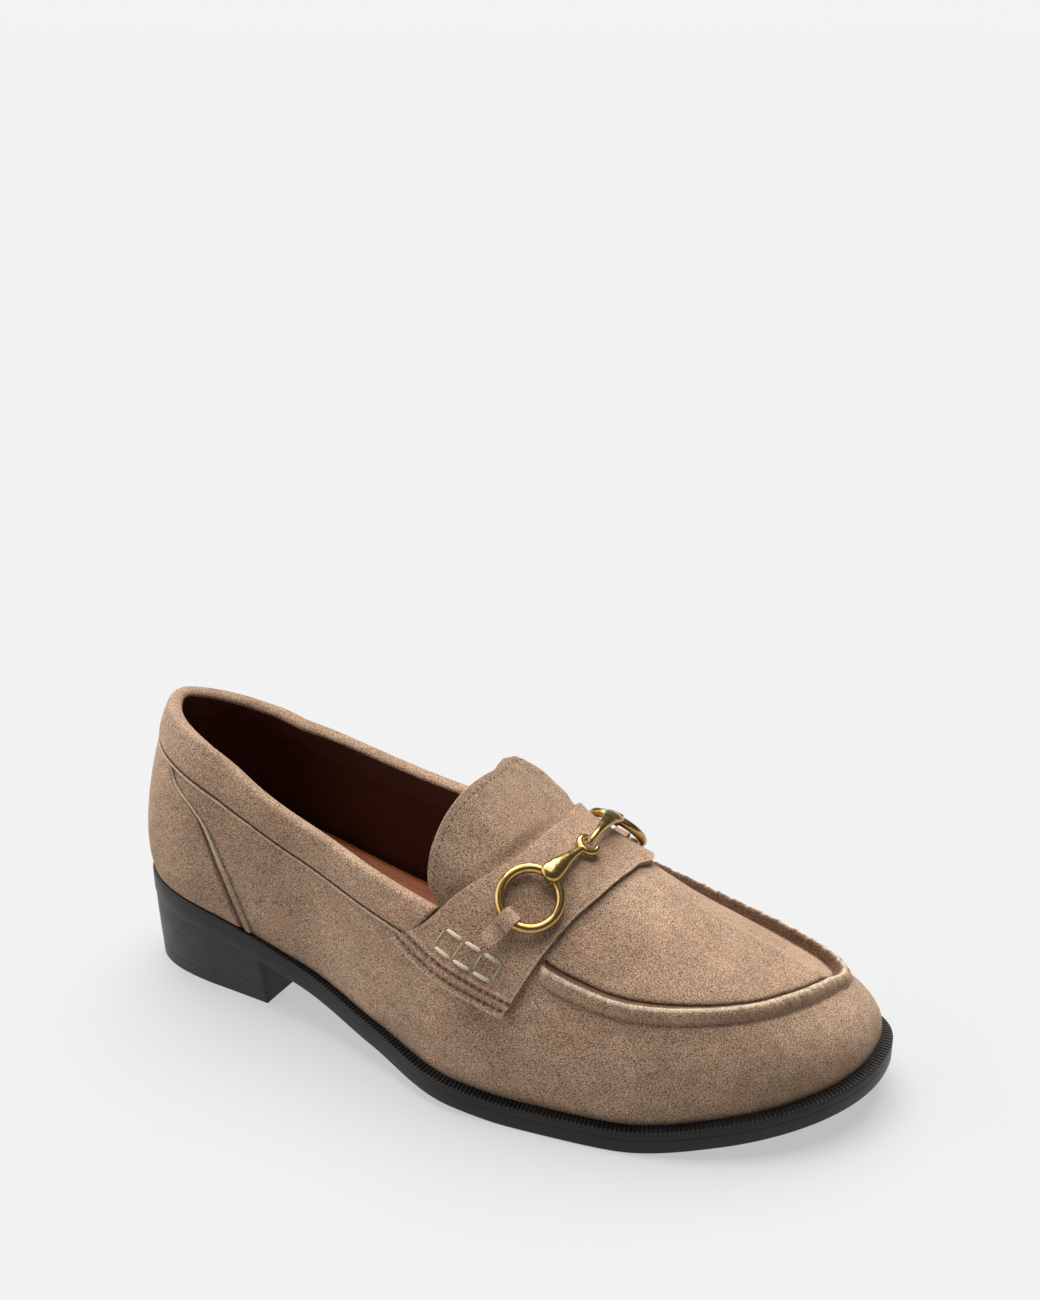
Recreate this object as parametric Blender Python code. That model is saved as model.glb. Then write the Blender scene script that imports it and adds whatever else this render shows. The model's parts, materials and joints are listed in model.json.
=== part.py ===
"""Bit loafer, a right shoe, built from its last.

All sizes are millimetres in the last's own axes: x runs from the back of the heel to the toe, y from the
outer (lateral) side to the inner (medial) side and z up from the floor. One function gives the last's
surface. The upper, collar, counter, tongue and strap are cut from it between two offsets, and the sole
follows its feather line, the edge where upper and sole meet.
"""

import math
from collections import namedtuple

import bmesh
import bpy
import numpy as np
from mathutils import Matrix, Vector

MM = 0.001
MERGE = 0.005 * MM
CREST = math.pi / 2
FULL_TURN = 2 * math.pi
LATERAL = -1
MEDIAL = 1
LAST_STATION = 3.0


def table(names, *rows):
    """A short table with named columns, one row for each section."""
    return dict(zip(names.split(), np.array(rows, float).T))


# Plan of the last: a rounded heel behind the seat, a rounded toe ahead of the ball, half widths between them.
# Towards the crest the heel's plan gets narrower than at its foot. It stays round at its very back, and
# the corner where it meets the sides is rounded off.
LAST_LENGTH = 258.0
SEAT_X = 40.0
BALL_X = 185.0
HEEL_ROUND = 2.6
HEEL_EDGE_ROUND = 1.5
HEEL_CREST_ROUND = 0.5
HEEL_BACK_ROUND = 2.0
HEEL_BACK_WIDE = 0.12
EDGE_TURNS = 4
HEEL_JOIN = 0.3
HEEL_JOIN_WIDE = 0.36
JOIN_STEPS = (-1.0, -0.6, -0.25, 0.25, 0.6, 1.0)
TOE_ROUND = 2.25
INFLARE_FROM = 100.0
TIP_INFLARE = 24.0
WIDTHS = table(
    "x lateral medial",
    (40, 28.5, 27.5),
    (75, 29.5, 26.5),
    (110, 36.5, 28.5),
    (145, 45.5, 35.0),
    (185, 45.5, 38.0),
)

# Side view of the last: feather line, line where the walls close above, roundness of wall and crown, how far
# the crown leans to the inner side, and how far the wall bulges over its foot.
PROFILE = table(
    "x feather crest side crown lean bulge",
    (0, 37.5, 127.0, 2.5, 2.59, 0.0, 1.8),
    (40, 31.5, 103.0, 2.37, 2.6, 0.0, 1.6),
    (75, 23.5, 119.0, 2.4, 2.5, 1.0, 1.0),
    (110, 15.5, 108.0, 2.35, 2.4, 2.0, 0.8),
    (140, 10.2, 89.0, 2.35, 2.4, 3.0, 1.2),
    (163, 8.1, 76.0, 2.35, 2.4, 3.0, 1.4),
    (195, 8.1, 60.5, 2.35, 2.4, 2.5, 1.6),
    (225, 12.5, 50.0, 2.35, 2.4, 1.0, 1.3),
    (258, 18.5, 42.0, 2.35, 2.4, 0.0, 1.0),
)
BULGE_HEIGHT = 15.0

# Upper: the cut edge of the quarters, how much higher it lies on the inner side, the throat where the edge
# climbs to the crown, and the raised apron seam.
WALL = 2.0
TOP_EDGE = table("x z", (5.5, 95.9), (8, 95.3), (12, 94.4), (18, 93.1), (24, 91.7), (30, 90.0), (38, 87.1),
                 (52, 81.8), (75, 73.9), (110, 65.4), (140, 60.8), (165, 52.0))
INNER_RISE = table("x rise", (5.5, 0.0), (8, -0.7), (12, -1.8), (18, -2.7), (26, -3.35), (38, -2.1), (52, 0.35),
                   (75, 3.1), (90, 4.4), (110, 5.6), (140, 2.0), (165, 1.0))
THROAT_FROM = 146.0
THROAT_TO = 168.0
SEAM = table(
    "station lateral medial",
    (1.85, 0.69, 0.82),
    (1.93, 0.67, 0.82),
    (2.02, 0.68, 0.82),
    (2.15, 0.72, 0.80),
    (2.31, 0.77, 0.76),
    (2.50, 0.81, 0.70),
    (2.72, 0.83, 0.66),
    (2.88, 0.81, 0.70),
    (3.00, 0.77, 0.77),
)
SEAM_FROM = 171.5
SEAM_FULL = 175.0
SEAM_STEP = table("angle rise", (-0.08, 0.0), (-0.045, 1.8), (-0.01, 2.6), (0.02, 2.2), (0.035, 0.0))
QUARTER_ROW = 0.6

# Counter, collar, tongue and strap, all in leather.
GAP = 0.3
COUNTER_LIFT = 0.6
COUNTER_THICK = 0.8
COUNTER_FOOT = 1.2
COUNTER_EDGE = table(
    "height station",
    (0.0, 1.10),
    (0.3, 1.05),
    (0.55, 1.0),
    (0.68, 0.95),
    (0.77, 0.85),
    (0.86, 0.70),
    (1.0, 0.60),
)
COLLAR_DROP = 10.9
COLLAR_STOP = 1.5
COLLAR_END_X = 131.0
COLLAR_SECTION = table(
    "drop face drop_in room",
    (10.9, 1.1, 10.9, 0.4),
    (7.8, 1.7, 7.8, 0.4),
    (4.0, 1.9, 4.0, 0.4),
    (0.0, 1.7, 0.5, 0.4),
    (-1.8, 0.6, -0.4, 0.4),
    (-2.3, -1.0, -0.4, -1.0),
    (-1.8, -2.6, -0.4, -2.4),
    (0.0, -3.6, 0.5, -2.4),
    (4.0, -3.7, 4.0, -2.4),
    (10.0, -3.1, 10.0, -2.4),
)
TONGUE_THICK = 1.8
TONGUE_TUCK = -4.4
TONGUE_RISE = table("past rise", (-0.7, 0.8), (-0.32, 1.5), (-0.07, 0.8), (0.08, 0.0), (0.23, -0.3),
                    (0.36, 0.3))
TONGUE_CLIMB = (0.04, 0.32)
TONGUE_DEPTH = 0.22
TONGUE_FRONT = 172.0
TONGUE_PUFF = table("x puff", (127, 1.2), (138, 5.0), (148, 3.0), (156, 3.0))
TONGUE_FREE = 5.0
PUFF_ACROSS = (0.25, 0.475)
PUFF_FOOT = (0.25, 0.6)
TONGUE_REAR = table("angle x", (0.40, 142.0), (0.60, 135.5), (0.74, 126.0), (0.90, 126.6), (CREST, 131.7))
STRAP_LIFT = 0.5
STRAP_THICK = 1.4
STRAP_END = 0.35
STRAP_SKEW = 4.0
STRAP = table(
    "angle rear front",
    (0.35, 121.0, 159.5),
    (0.53, 130.0, 163.5),
    (0.80, 139.5, 168.5),
    (1.00, 146.5, 171.0),
    (1.22, 152.0, 173.5),
    (CREST, 155.2, 176.5),
)
FRONT_SWEEP = table("past ahead", (-0.8, 0.0), (-0.5, 1.3), (-0.3, 2.2), (0.0, 2.6), (0.2, 5.4), (0.4, 4.4),
                    (0.66, 0.0))
STRAP_LOOSE = table("x lift", (146, 2.2), (152, 1.9), (157, 0.7), (161, 0.0))
LOOSE_ANGLE = 1.26
LOOSE_WIDE = 0.17

# Bit: two rings, two bars that meet at an eye on the crown, and the tabs that hold the rings.
RING_ANGLE = 0.98
RING_RADIUS = 9.4
RING_WIRE = 1.55
RING_X = 159.0
EYE_X = 165.4
EYE_ANGLE = 1.485
EYE_RADIUS = 3.0
EYE_WIRE = 1.05
METAL_CLEAR = 0.45
BAR_OVERHANG = 2.4
BAR_FLAT = 0.8
BAR_SHAPE = table(
    "along radius rise",
    (0.0, 1.5, 2.9),
    (0.12, 2.9, 3.2),
    (0.3, 2.7, 2.4),
    (0.6, 1.7, 0.9),
    (0.85, 1.2, 0.3),
    (1.0, 1.0, 0.0),
)
STEM_SHAPE = table(
    "along radius rise",
    (0.0, 1.5, 3.3),
    (0.12, 2.9, 3.6),
    (0.3, 2.4, 3.0),
    (0.5, 1.5, 2.3),
    (0.78, 0.9, 2.7),
    (0.88, 0.8, 2.6),
    (1.0, 0.8, 0.4),
)
TAB_WIDTH = 5.0
TAB_THICK = 0.9
TAB_REACH = 7.0
TAB_INSIDE = 3.4

# Sole: outsole sheet, welt strip, heel block and insole, one above the other.
STACK = 8.1
OUTSOLE_THICK = 4.5
WELT_THICK = 3.0
WELT_INSET = 2.2
EDGE_ROUND = 0.7
MARGIN = table("station out", (0.0, 2.2), (0.9, 2.2), (1.35, 2.8), (1.8, 4.0), (3.0, 4.0))
HEEL_BREAST_X = 58.0
HEEL_TAPER = table("height inset", (0.0, 3.6), (0.35, 2.4), (0.75, 1.2), (1.0, 0.8))
BACK_TAPER = 0.15
TAPER_SIDES = (0.1, 0.9)
INSOLE_INSET = 2.8
INSOLE_TOP = 4.0
ARCH_POWER = 3
ARCH_RISE = table("x rise", (4, 0.0), (60, 7.0), (95, 7.5), (140, 2.0), (170, 0.0))

# Mesh density: stations along each side, rows up the wall, and rows and columns of the overlays.
HEEL_STATIONS = 8
QUARTER_STATIONS = 14
THROAT_STATIONS = 6
TOE_STATIONS = 11
LOW_ROWS = 5
HIGH_ROWS = 5
INNER_ROWS = 7
WIRE_SIDES = 8
RING_SIDES = 20
BAR_SECTIONS = 11
BAR_SAMPLES = 220
COUNTER_GRID = (9, 27)
COLLAR_COLUMNS = 41
TONGUE_GRID = (8, 21)
STRAP_GRID = (7, 31)
TAB_COLUMNS = 5
TAB_BENDS = 7
INSOLE_ROWS = 7
BLOCK_STATIONS = 10
BLOCK_SIDES = 3
SURFACE_STEP = 0.0005
EDGE_STEP = 0.002
TOP_SHARE = 0.999
NEARLY = 1e-6
SHARP_ANGLE = math.radians(40)

# Looks of the materials.
Look = namedtuple("Look", "colour roughness metallic", defaults=(0.0,))
SUEDE = Look((0.33, 0.235, 0.16), 0.95)
INSOLE_TAN = Look((0.38, 0.15, 0.045), 0.5)
SOLE_BLACK = Look((0.022, 0.021, 0.020), 0.55)
BRASS = Look((0.50, 0.33, 0.09), 0.3, 1.0)


def smooth(x, xs, ys):
    """Monotone cubic through the rows of a table: it never overshoots, and flat stretches stay flat."""
    step = np.diff(xs)
    slope = np.diff(ys) / step
    before, after = slope[:-1], slope[1:]
    same = before * after > 0
    weight_a = 2 * step[1:] + step[:-1]
    weight_b = step[1:] + 2 * step[:-1]
    blend = np.where(same, weight_a * after + weight_b * before, 1.0)
    inner = np.where(same, (weight_a + weight_b) * before * after / blend, 0.0)
    tangent = np.concatenate([slope[:1], inner, slope[-1:]])
    x = np.clip(x, xs[0], xs[-1])
    k = np.clip(np.searchsorted(xs, x, side="right") - 1, 0, len(xs) - 2)
    t = (x - xs[k]) / step[k]
    rise = ys[k] * (1 + 2 * t) * (1 - t) ** 2 + ys[k + 1] * t * t * (3 - 2 * t)
    return rise + step[k] * t * (1 - t) * (tangent[k] * (1 - t) - tangent[k + 1] * t)


def read(rows, column, value):
    """A column of a table at any value of its first column."""
    first = next(iter(rows))
    return smooth(np.asarray(value, float), rows[first], rows[column])


def ease(x, start, end):
    """Zero before start, one after end, with no corner."""
    t = np.clip((x - start) / (end - start), 0.0, 1.0)
    return t * t * (3 - 2 * t)


def axis_y(x):
    """The last's centre line, which curves to the inner side ahead of the waist."""
    t = np.clip((x - INFLARE_FROM) / (LAST_LENGTH - INFLARE_FROM), 0.0, None)
    return TIP_INFLARE * t * t


def station_of(x):
    """Station of a section between seat and ball: 0 to 1 is the heel, 1 to 2 the middle, 2 to 3 the toe."""
    return 1.0 + (np.asarray(x, float) - SEAT_X) / (BALL_X - SEAT_X)


def half_width(x, side):
    return np.where(side < 0, read(WIDTHS, "lateral", x), read(WIDTHS, "medial", x))


def feather_plan(station, side, heel_round=HEEL_ROUND):
    """Feather point of a station (x and half width), and the x of the pivot that its ray starts from."""
    heel = np.clip(station, 0.0, 1.0) * CREST
    toe = np.clip(station - 2.0, 0.0, 1.0) * CREST
    middle_x = SEAT_X + (BALL_X - SEAT_X) * np.clip(station - 1.0, 0.0, 1.0)
    heel_x = SEAT_X * (1 - np.clip(np.cos(heel), 0, 1) ** (2 / heel_round))
    toe_x = BALL_X + (LAST_LENGTH - BALL_X) * np.sin(toe) ** (2 / TOE_ROUND)
    width = half_width(middle_x, side)
    heel_share = np.sin(heel) ** (2 / heel_round)
    toe_share = np.clip(np.cos(toe), 0, 1) ** (2 / TOE_ROUND)
    x = np.where(station < 1, heel_x, np.where(station < 2, middle_x, toe_x))
    share = np.where(station < 1, heel_share, np.where(station < 2, 1.0, toe_share))
    return x, width * share, middle_x


def heel_roundness(station, climb):
    """Roundness of the heel's plan at a share of the climb to the crest, eased at its very back."""
    high = HEEL_ROUND + (HEEL_CREST_ROUND - HEEL_ROUND) * climb ** 2
    back = np.exp(-(station / HEEL_BACK_WIDE) ** 2)
    return high + (np.maximum(high, HEEL_BACK_ROUND) - high) * back


def soft_plan(station, side, heel_round, share):
    """Plan with the corner where the heel meets the sides rounded off, by a mean along the stations."""
    reach = share * HEEL_JOIN * np.exp(-((station - 1.0) / HEEL_JOIN_WIDE) ** 2)
    plans = [feather_plan(station + step * reach, side, heel_round)[:2] for step in JOIN_STEPS]
    return [sum(values) / len(plans) for values in zip(*plans)]


def last_point(station, side, angle):
    """Surface of the last: angle 0 is the feather line and a right angle is the crest."""
    station, side, angle = np.broadcast_arrays(*(np.asarray(v, float) for v in (station, side, angle)))
    foot_x, foot_w, pivot_x = feather_plan(station, side)
    reach = np.clip(np.cos(angle), 0, 1) ** (2 / read(PROFILE, "side", foot_x))
    climb = np.clip(np.sin(angle), 0, 1) ** (2 / read(PROFILE, "crown", foot_x))
    plan_x, plan_w = soft_plan(station, side, heel_roundness(station, climb), climb ** 2)
    lean = side * read(PROFILE, "lean", pivot_x)
    x = pivot_x + reach * (plan_x - pivot_x)
    w = lean + reach * (plan_w - lean)
    foot_z = read(PROFILE, "feather", foot_x)
    rise = (read(PROFILE, "crest", np.where(station < 2, foot_x, x)) - foot_z) * climb
    height = rise / BULGE_HEIGHT
    bulge = read(PROFILE, "bulge", foot_x) * height * np.exp(1 - height)
    ray = np.hypot(foot_x - pivot_x, foot_w) + MERGE
    x = x + bulge * (foot_x - pivot_x) / ray
    w = w + bulge * foot_w / ray
    return np.stack([x, axis_y(x) + side * w, foot_z + rise], -1)


def last_normal(station, side, angle):
    """Outward direction of the last's surface, from small steps along it."""
    step = SURFACE_STEP
    station, side, angle = np.broadcast_arrays(*(np.asarray(v, float) for v in (station, side, angle)))
    station = np.clip(station, 2 * step, LAST_STATION - 2 * step)
    angle = np.clip(angle, 4 * step, CREST - 8 * step)
    along = last_point(station + step, side, angle) - last_point(station - step, side, angle)
    up = last_point(station, side, angle + step) - last_point(station, side, angle - step)
    normal = np.cross(up, along) * side[..., None]
    return normal / np.linalg.norm(normal, axis=-1, keepdims=True)


def skin(station, side, angle, lift):
    """A point lifted from the last's surface."""
    normal = last_normal(station, side, angle)
    return last_point(station, side, angle) + np.broadcast_to(lift, normal.shape[:-1])[..., None] * normal


def angle_at(station, side, z):
    """Angle at which a station's ray reaches a height."""
    foot_x = feather_plan(station, side)[0]
    foot_z = read(PROFILE, "feather", foot_x)
    share = np.clip((z - foot_z) / (read(PROFILE, "crest", foot_x) - foot_z), 0.0, TOP_SHARE)
    return np.arcsin(share ** (read(PROFILE, "crown", foot_x) / 2))


def edge_angle(station, side, drop=0.0):
    """Angle of the quarters' top edge, or of a line that lies lower by a drop, before the throat."""
    x = feather_plan(station, side, HEEL_EDGE_ROUND)[0]
    for turn in range(EDGE_TURNS):
        height = read(TOP_EDGE, "z", x) + np.where(side > 0, read(INNER_RISE, "rise", x), 0.0)
        x = last_point(station, side, angle_at(station, side, height))[..., 0]
    return angle_at(station, side, height - drop)


def upper_edge(station, side):
    """Angle of the upper's edge: the quarters' top edge, then the throat's climb to the crest."""
    foot_x = feather_plan(station, side)[0]
    quarter = edge_angle(station, side)
    return quarter + (CREST - quarter) * ease(foot_x, THROAT_FROM, THROAT_TO)


def strap_edges(angle, side):
    """x of the strap's rear and front edges at an angle; the inner end lies a little further forward."""
    skew = STRAP_SKEW * (side > 0) * (CREST - angle) / (CREST - STRAP_END)
    sweep = read(FRONT_SWEEP, "ahead", (CREST - angle) * side)
    return read(STRAP, "rear", angle) + skew, read(STRAP, "front", angle) + skew + sweep


def strap_loose(x, angle, side):
    """How far the strap's rear edge stands off the last on the inner side of the crown."""
    return read(STRAP_LOOSE, "lift", x) * np.exp(-((angle - LOOSE_ANGLE) / LOOSE_WIDE) ** 2) * (side > 0)


def add_sheet(bm, points, wrap=False):
    """Quads over a grid of points in millimetres. Returns the grid of vertices."""
    verts = [[bm.verts.new(p * MM) for p in row] for row in points]
    for low, high in zip(verts, verts[1:]):
        join_rows(bm, low, high, wrap)
    return verts


def join_rows(bm, low, high, wrap=False):
    """Quads between two rows of vertices."""
    count = len(low)
    for k in range(count if wrap else count - 1):
        n = (k + 1) % count
        bm.faces.new((low[k], low[n], high[n], high[k]))


def finish(bm, name, look):
    """Close the mesh, turn its faces outward and make the named object with its material."""
    bmesh.ops.remove_doubles(bm, verts=bm.verts, dist=MERGE)
    bmesh.ops.dissolve_degenerate(bm, edges=bm.edges, dist=MERGE)
    bmesh.ops.recalc_face_normals(bm, faces=bm.faces)
    mesh = bpy.data.meshes.new(name)
    bm.to_mesh(mesh)
    bm.free()
    mesh.shade_smooth()
    mesh.set_sharp_from_angle(angle=SHARP_ANGLE)
    material = bpy.data.materials.new(name)
    material.use_nodes = True
    shader = material.node_tree.nodes["Principled BSDF"]
    shader.inputs["Base Color"].default_value = (*look.colour, 1.0)
    shader.inputs["Roughness"].default_value = look.roughness
    shader.inputs["Metallic"].default_value = look.metallic
    mesh.materials.append(material)
    obj = bpy.data.objects.new(name, mesh)
    bpy.context.scene.collection.objects.link(obj)
    return obj


def closed_patch(name, outer, inner):
    """A suede solid between two sheets of the same grid, closed by strips round their edges."""
    bm = bmesh.new()
    a = add_sheet(bm, outer)
    b = add_sheet(bm, inner)
    join_rows(bm, a[0], b[0])
    join_rows(bm, a[-1], b[-1])
    join_rows(bm, [row[0] for row in a], [row[0] for row in b])
    join_rows(bm, [row[-1] for row in a], [row[-1] for row in b])
    return finish(bm, name, SUEDE)


def outline_stations():
    """Stations of one side from the heel's back to the toe's tip, closest together round the throat."""
    heel = np.linspace(0.0, 1.0, HEEL_STATIONS + 1)
    quarter = np.linspace(SEAT_X, THROAT_FROM, QUARTER_STATIONS + 1)[1:]
    throat = np.linspace(THROAT_FROM, SEAM_FROM, THROAT_STATIONS + 1)[1:]
    vamp = (SEAM_FULL, (SEAM_FULL + BALL_X) / 2, BALL_X)
    middle = station_of(np.concatenate([quarter, throat, vamp]))
    toe = 2.0 + np.linspace(0.0, 1.0, TOE_STATIONS + 1)[1:]
    return np.concatenate([heel, middle, toe])


def outline_ring():
    """Stations and sides once round the shoe: the outer side to the tip, then back along the inner side."""
    one_side = outline_stations()
    stations = np.concatenate([one_side, one_side[-2:0:-1]])
    sides = np.concatenate([np.full(len(one_side), LATERAL), np.full(len(one_side) - 2, MEDIAL)])
    return stations, sides


def mirror_column(k):
    """Column of the ring at the same station on the other side."""
    count = 2 * (len(outline_stations()) - 1)
    return (count - k) % count


def close_crown(points, stations, closed):
    """Bring both sides to one crest line, and the toe's rays to one point, in the top row of a grid."""
    top = points[-1]
    partner = [mirror_column(k) for k in range(len(stations))]
    meeting = (top + top[partner]) / 2
    toe_pole = meeting[np.isclose(stations, 2.0)][0]
    meeting[stations >= 2.0] = toe_pole
    points[-1] = np.where(closed[:, None], meeting, top)


def make_upper():
    """Vamp, plug and quarters in one hollow wall, open at the collar and underneath."""
    stations, sides = outline_ring()
    edge = upper_edge(stations, sides)
    closed = edge > CREST - NEARLY
    foot_x = feather_plan(stations, sides)[0]
    front = ease(foot_x, SEAM_FROM, SEAM_FULL)
    lateral_seam = read(SEAM, "lateral", stations)
    medial_seam = read(SEAM, "medial", stations)
    seam = np.where(sides < 0, lateral_seam, medial_seam)
    seam = QUARTER_ROW * edge + (seam - QUARTER_ROW * edge) * front

    low_end = seam + SEAM_STEP["angle"][0]
    high_start = seam + SEAM_STEP["angle"][-1]
    low = [low_end * k / LOW_ROWS for k in range(LOW_ROWS)]
    ridge = [seam + a for a in SEAM_STEP["angle"]]
    high = [high_start + (edge - high_start) * k / HIGH_ROWS for k in range(1, HIGH_ROWS + 1)]
    angles = np.array(low + ridge + high)
    lift = np.zeros_like(angles)
    lift[LOW_ROWS:LOW_ROWS + len(ridge)] = np.outer(SEAM_STEP["rise"], front)
    outer = skin(stations, sides, angles, lift)
    inner_angles = np.linspace(0.0, 1.0, INNER_ROWS)[:, None] * edge
    inner = skin(stations, sides, inner_angles, -WALL)
    inner[0, :, 2] = outer[0, :, 2]
    close_crown(outer, stations, closed)
    close_crown(inner, stations, closed)

    bm = bmesh.new()
    a = add_sheet(bm, outer, wrap=True)
    b = add_sheet(bm, inner, wrap=True)
    join_rows(bm, a[0], b[0], wrap=True)
    for k in range(len(stations)):
        n = (k + 1) % len(stations)
        if not (closed[k] and closed[n]):
            bm.faces.new((a[-1][k], a[-1][n], b[-1][n], b[-1][k]))
    return finish(bm, "upper", SUEDE)


def make_counter():
    """Overlay round the back of the heel, from the sole to the collar's lower edge."""
    height = np.linspace(0.0, 1.0, COUNTER_GRID[0])[:, None]
    across = np.linspace(-1.0, 1.0, COUNTER_GRID[1])[None, :]
    side = np.where(across < 0, LATERAL, MEDIAL)
    station = np.abs(across) * read(COUNTER_EDGE, "station", height)
    top = edge_angle(station, side, COLLAR_DROP + 2 * GAP)
    foot = angle_at(station, side, read(PROFILE, "feather", feather_plan(station, side)[0]) + COUNTER_FOOT)
    angle = foot + (top - foot) * height
    inner = skin(station, side, angle, COUNTER_LIFT)
    outer = skin(station, side, angle, COUNTER_LIFT + COUNTER_THICK)
    return closed_patch("counter", outer, inner)


def make_collar():
    """Padded band folded over the quarters' top edge, from the strap round the heel to the strap."""
    across = np.linspace(-1.0, 1.0, COLLAR_COLUMNS)[None, :]
    side = np.where(across < 0, LATERAL, MEDIAL)
    strap_station = station_of(COLLAR_END_X)

    def band(drop, lift):
        end_angle = edge_angle(strap_station, side, drop)
        end = station_of(strap_edges(end_angle, side)[0] - COLLAR_STOP)
        station = np.abs(across) * end
        return skin(station, side, edge_angle(station, side, drop), lift)

    outer = band(COLLAR_SECTION["drop"][:, None], COLLAR_SECTION["face"][:, None])
    inner = band(COLLAR_SECTION["drop_in"][:, None], COLLAR_SECTION["room"][:, None])
    return closed_patch("collar", outer, inner)


def make_tongue():
    """Rounded flap that lies under the strap and comes up behind it, its sides tucked inside the collar."""
    along = np.linspace(0.0, 1.0, TONGUE_GRID[0])[:, None]
    across = np.linspace(-1.0, 1.0, TONGUE_GRID[1])[None, :]
    side = np.where(across < 0, LATERAL, MEDIAL)
    middle = 1.0 - np.abs(across)

    foot = edge_angle(station_of(THROAT_FROM), side) - TONGUE_DEPTH
    guess = foot + (CREST - foot) * middle
    x = read(TONGUE_REAR, "x", guess)
    x = x + (TONGUE_FRONT - x) * along
    station = station_of(x)
    low = edge_angle(station, side) - TONGUE_DEPTH
    angle = low + (CREST - low) * middle
    above = angle - upper_edge(station, side)
    lift = TONGUE_TUCK * (1 - ease(above, *TONGUE_CLIMB)) + strap_loose(x, angle, side)
    free = ease(strap_edges(angle, side)[0] - x, 0.0, TONGUE_FREE) * ease(above, *PUFF_FOOT)
    past_crest = (CREST - angle) * side
    puff = read(TONGUE_RISE, "rise", past_crest) + read(TONGUE_PUFF, "puff", x) * ease(past_crest, *PUFF_ACROSS)
    lift = lift + free * puff
    outer = skin(station, side, angle, lift)
    inner = skin(station, side, angle, lift - TONGUE_THICK)
    return closed_patch("tongue", outer, inner)


def make_strap():
    """Wide saddle strap over the instep, flared at both lower ends."""
    along = np.linspace(0.0, 1.0, STRAP_GRID[0])[:, None]
    across = np.linspace(-1.0, 1.0, STRAP_GRID[1])[None, :]
    side = np.where(across < 0, LATERAL, MEDIAL)
    angle = CREST + (STRAP_END - CREST) * np.abs(across)
    rear, front = strap_edges(angle, side)
    x = rear + (front - rear) * along
    lift = STRAP_LIFT + strap_loose(x, angle, side)
    inner = skin(station_of(x), side, angle, lift)
    outer = skin(station_of(x), side, angle, lift + STRAP_THICK)
    return closed_patch("saddle_strap", outer, inner)


STRAP_FACE = STRAP_LIFT + STRAP_THICK
RING_LIFT = STRAP_FACE + METAL_CLEAR + RING_WIRE


def ring_frame(side):
    """Matrix of a ring: its centre over the strap, its z along the strap's outward direction."""
    x = RING_X + STRAP_SKEW * (side > 0)
    centre = skin(station_of(x), side, RING_ANGLE, RING_LIFT)
    normal = Vector(last_normal(station_of(x), side, RING_ANGLE))
    eye = last_point(station_of(EYE_X), LATERAL, EYE_ANGLE)
    uphill = Vector(eye - last_point(station_of(x), side, RING_ANGLE))
    uphill = (uphill - uphill.dot(normal) * normal).normalized()
    turn = Matrix((uphill, normal.cross(uphill), normal)).transposed()
    return Matrix.Translation(Vector(centre) * MM) @ turn.to_4x4()


def add_wire_ring(bm, radius, wire):
    """A round wire bent to a full circle about z."""
    made = bmesh.ops.create_circle(bm, segments=WIRE_SIDES, radius=wire * MM)
    stand = Matrix.Translation((radius * MM, 0, 0)) @ Matrix.Rotation(CREST, 4, "X")
    bmesh.ops.transform(bm, matrix=stand, verts=made["verts"])
    edges = list({edge for vert in made["verts"] for edge in vert.link_edges})
    bmesh.ops.spin(bm, geom=made["verts"] + edges, axis=(0, 0, 1), angle=FULL_TURN,
                   steps=RING_SIDES, use_merge=True)


def make_ring(name, side, extra=0.0):
    """A ring of the bit, or with extra wire the room that it needs in a bar's end."""
    bm = bmesh.new()
    add_wire_ring(bm, RING_RADIUS, RING_WIRE + extra)
    ring = finish(bm, name, BRASS)
    ring.matrix_world = ring_frame(side)
    return ring


def add_rod(bm, path, ups, radii):
    """A tapered rod along a path of points, each section a circle pressed flatter along its up direction."""
    rings = []
    for k, point in enumerate(path):
        ahead = path[min(k + 1, len(path) - 1)] - path[max(k - 1, 0)]
        across = np.cross(ahead, ups[k])
        across = across / np.linalg.norm(across)
        lift = np.cross(across, ahead) / np.linalg.norm(ahead)
        turns = FULL_TURN * np.arange(WIRE_SIDES)[:, None] / WIRE_SIDES
        rings.append(point + radii[k] * (np.cos(turns) * across + BAR_FLAT * np.sin(turns) * lift))
    verts = add_sheet(bm, rings, wrap=True)
    bm.faces.new(verts[0])
    bm.faces.new(verts[-1])


def cut_room(bar, side):
    """Cut the room for the ring's wire out of a bar's wide end."""
    cutter = make_ring(bar.name + "_room", side, METAL_CLEAR)
    cutter.hide_render = True
    cutter.display_type = "WIRE"
    cut = bar.modifiers.new("ring room", "BOOLEAN")
    cut.operation = "DIFFERENCE"
    cut.object = cutter
    return cutter


def over_crest(x, past_crest, surface, *lift):
    """A surface at angles counted from the crest, below zero on the outer side and above it on the inner."""
    side = np.where(past_crest < 0, LATERAL, MEDIAL)
    return surface(station_of(x), side, CREST - np.abs(past_crest), *lift)


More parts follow.
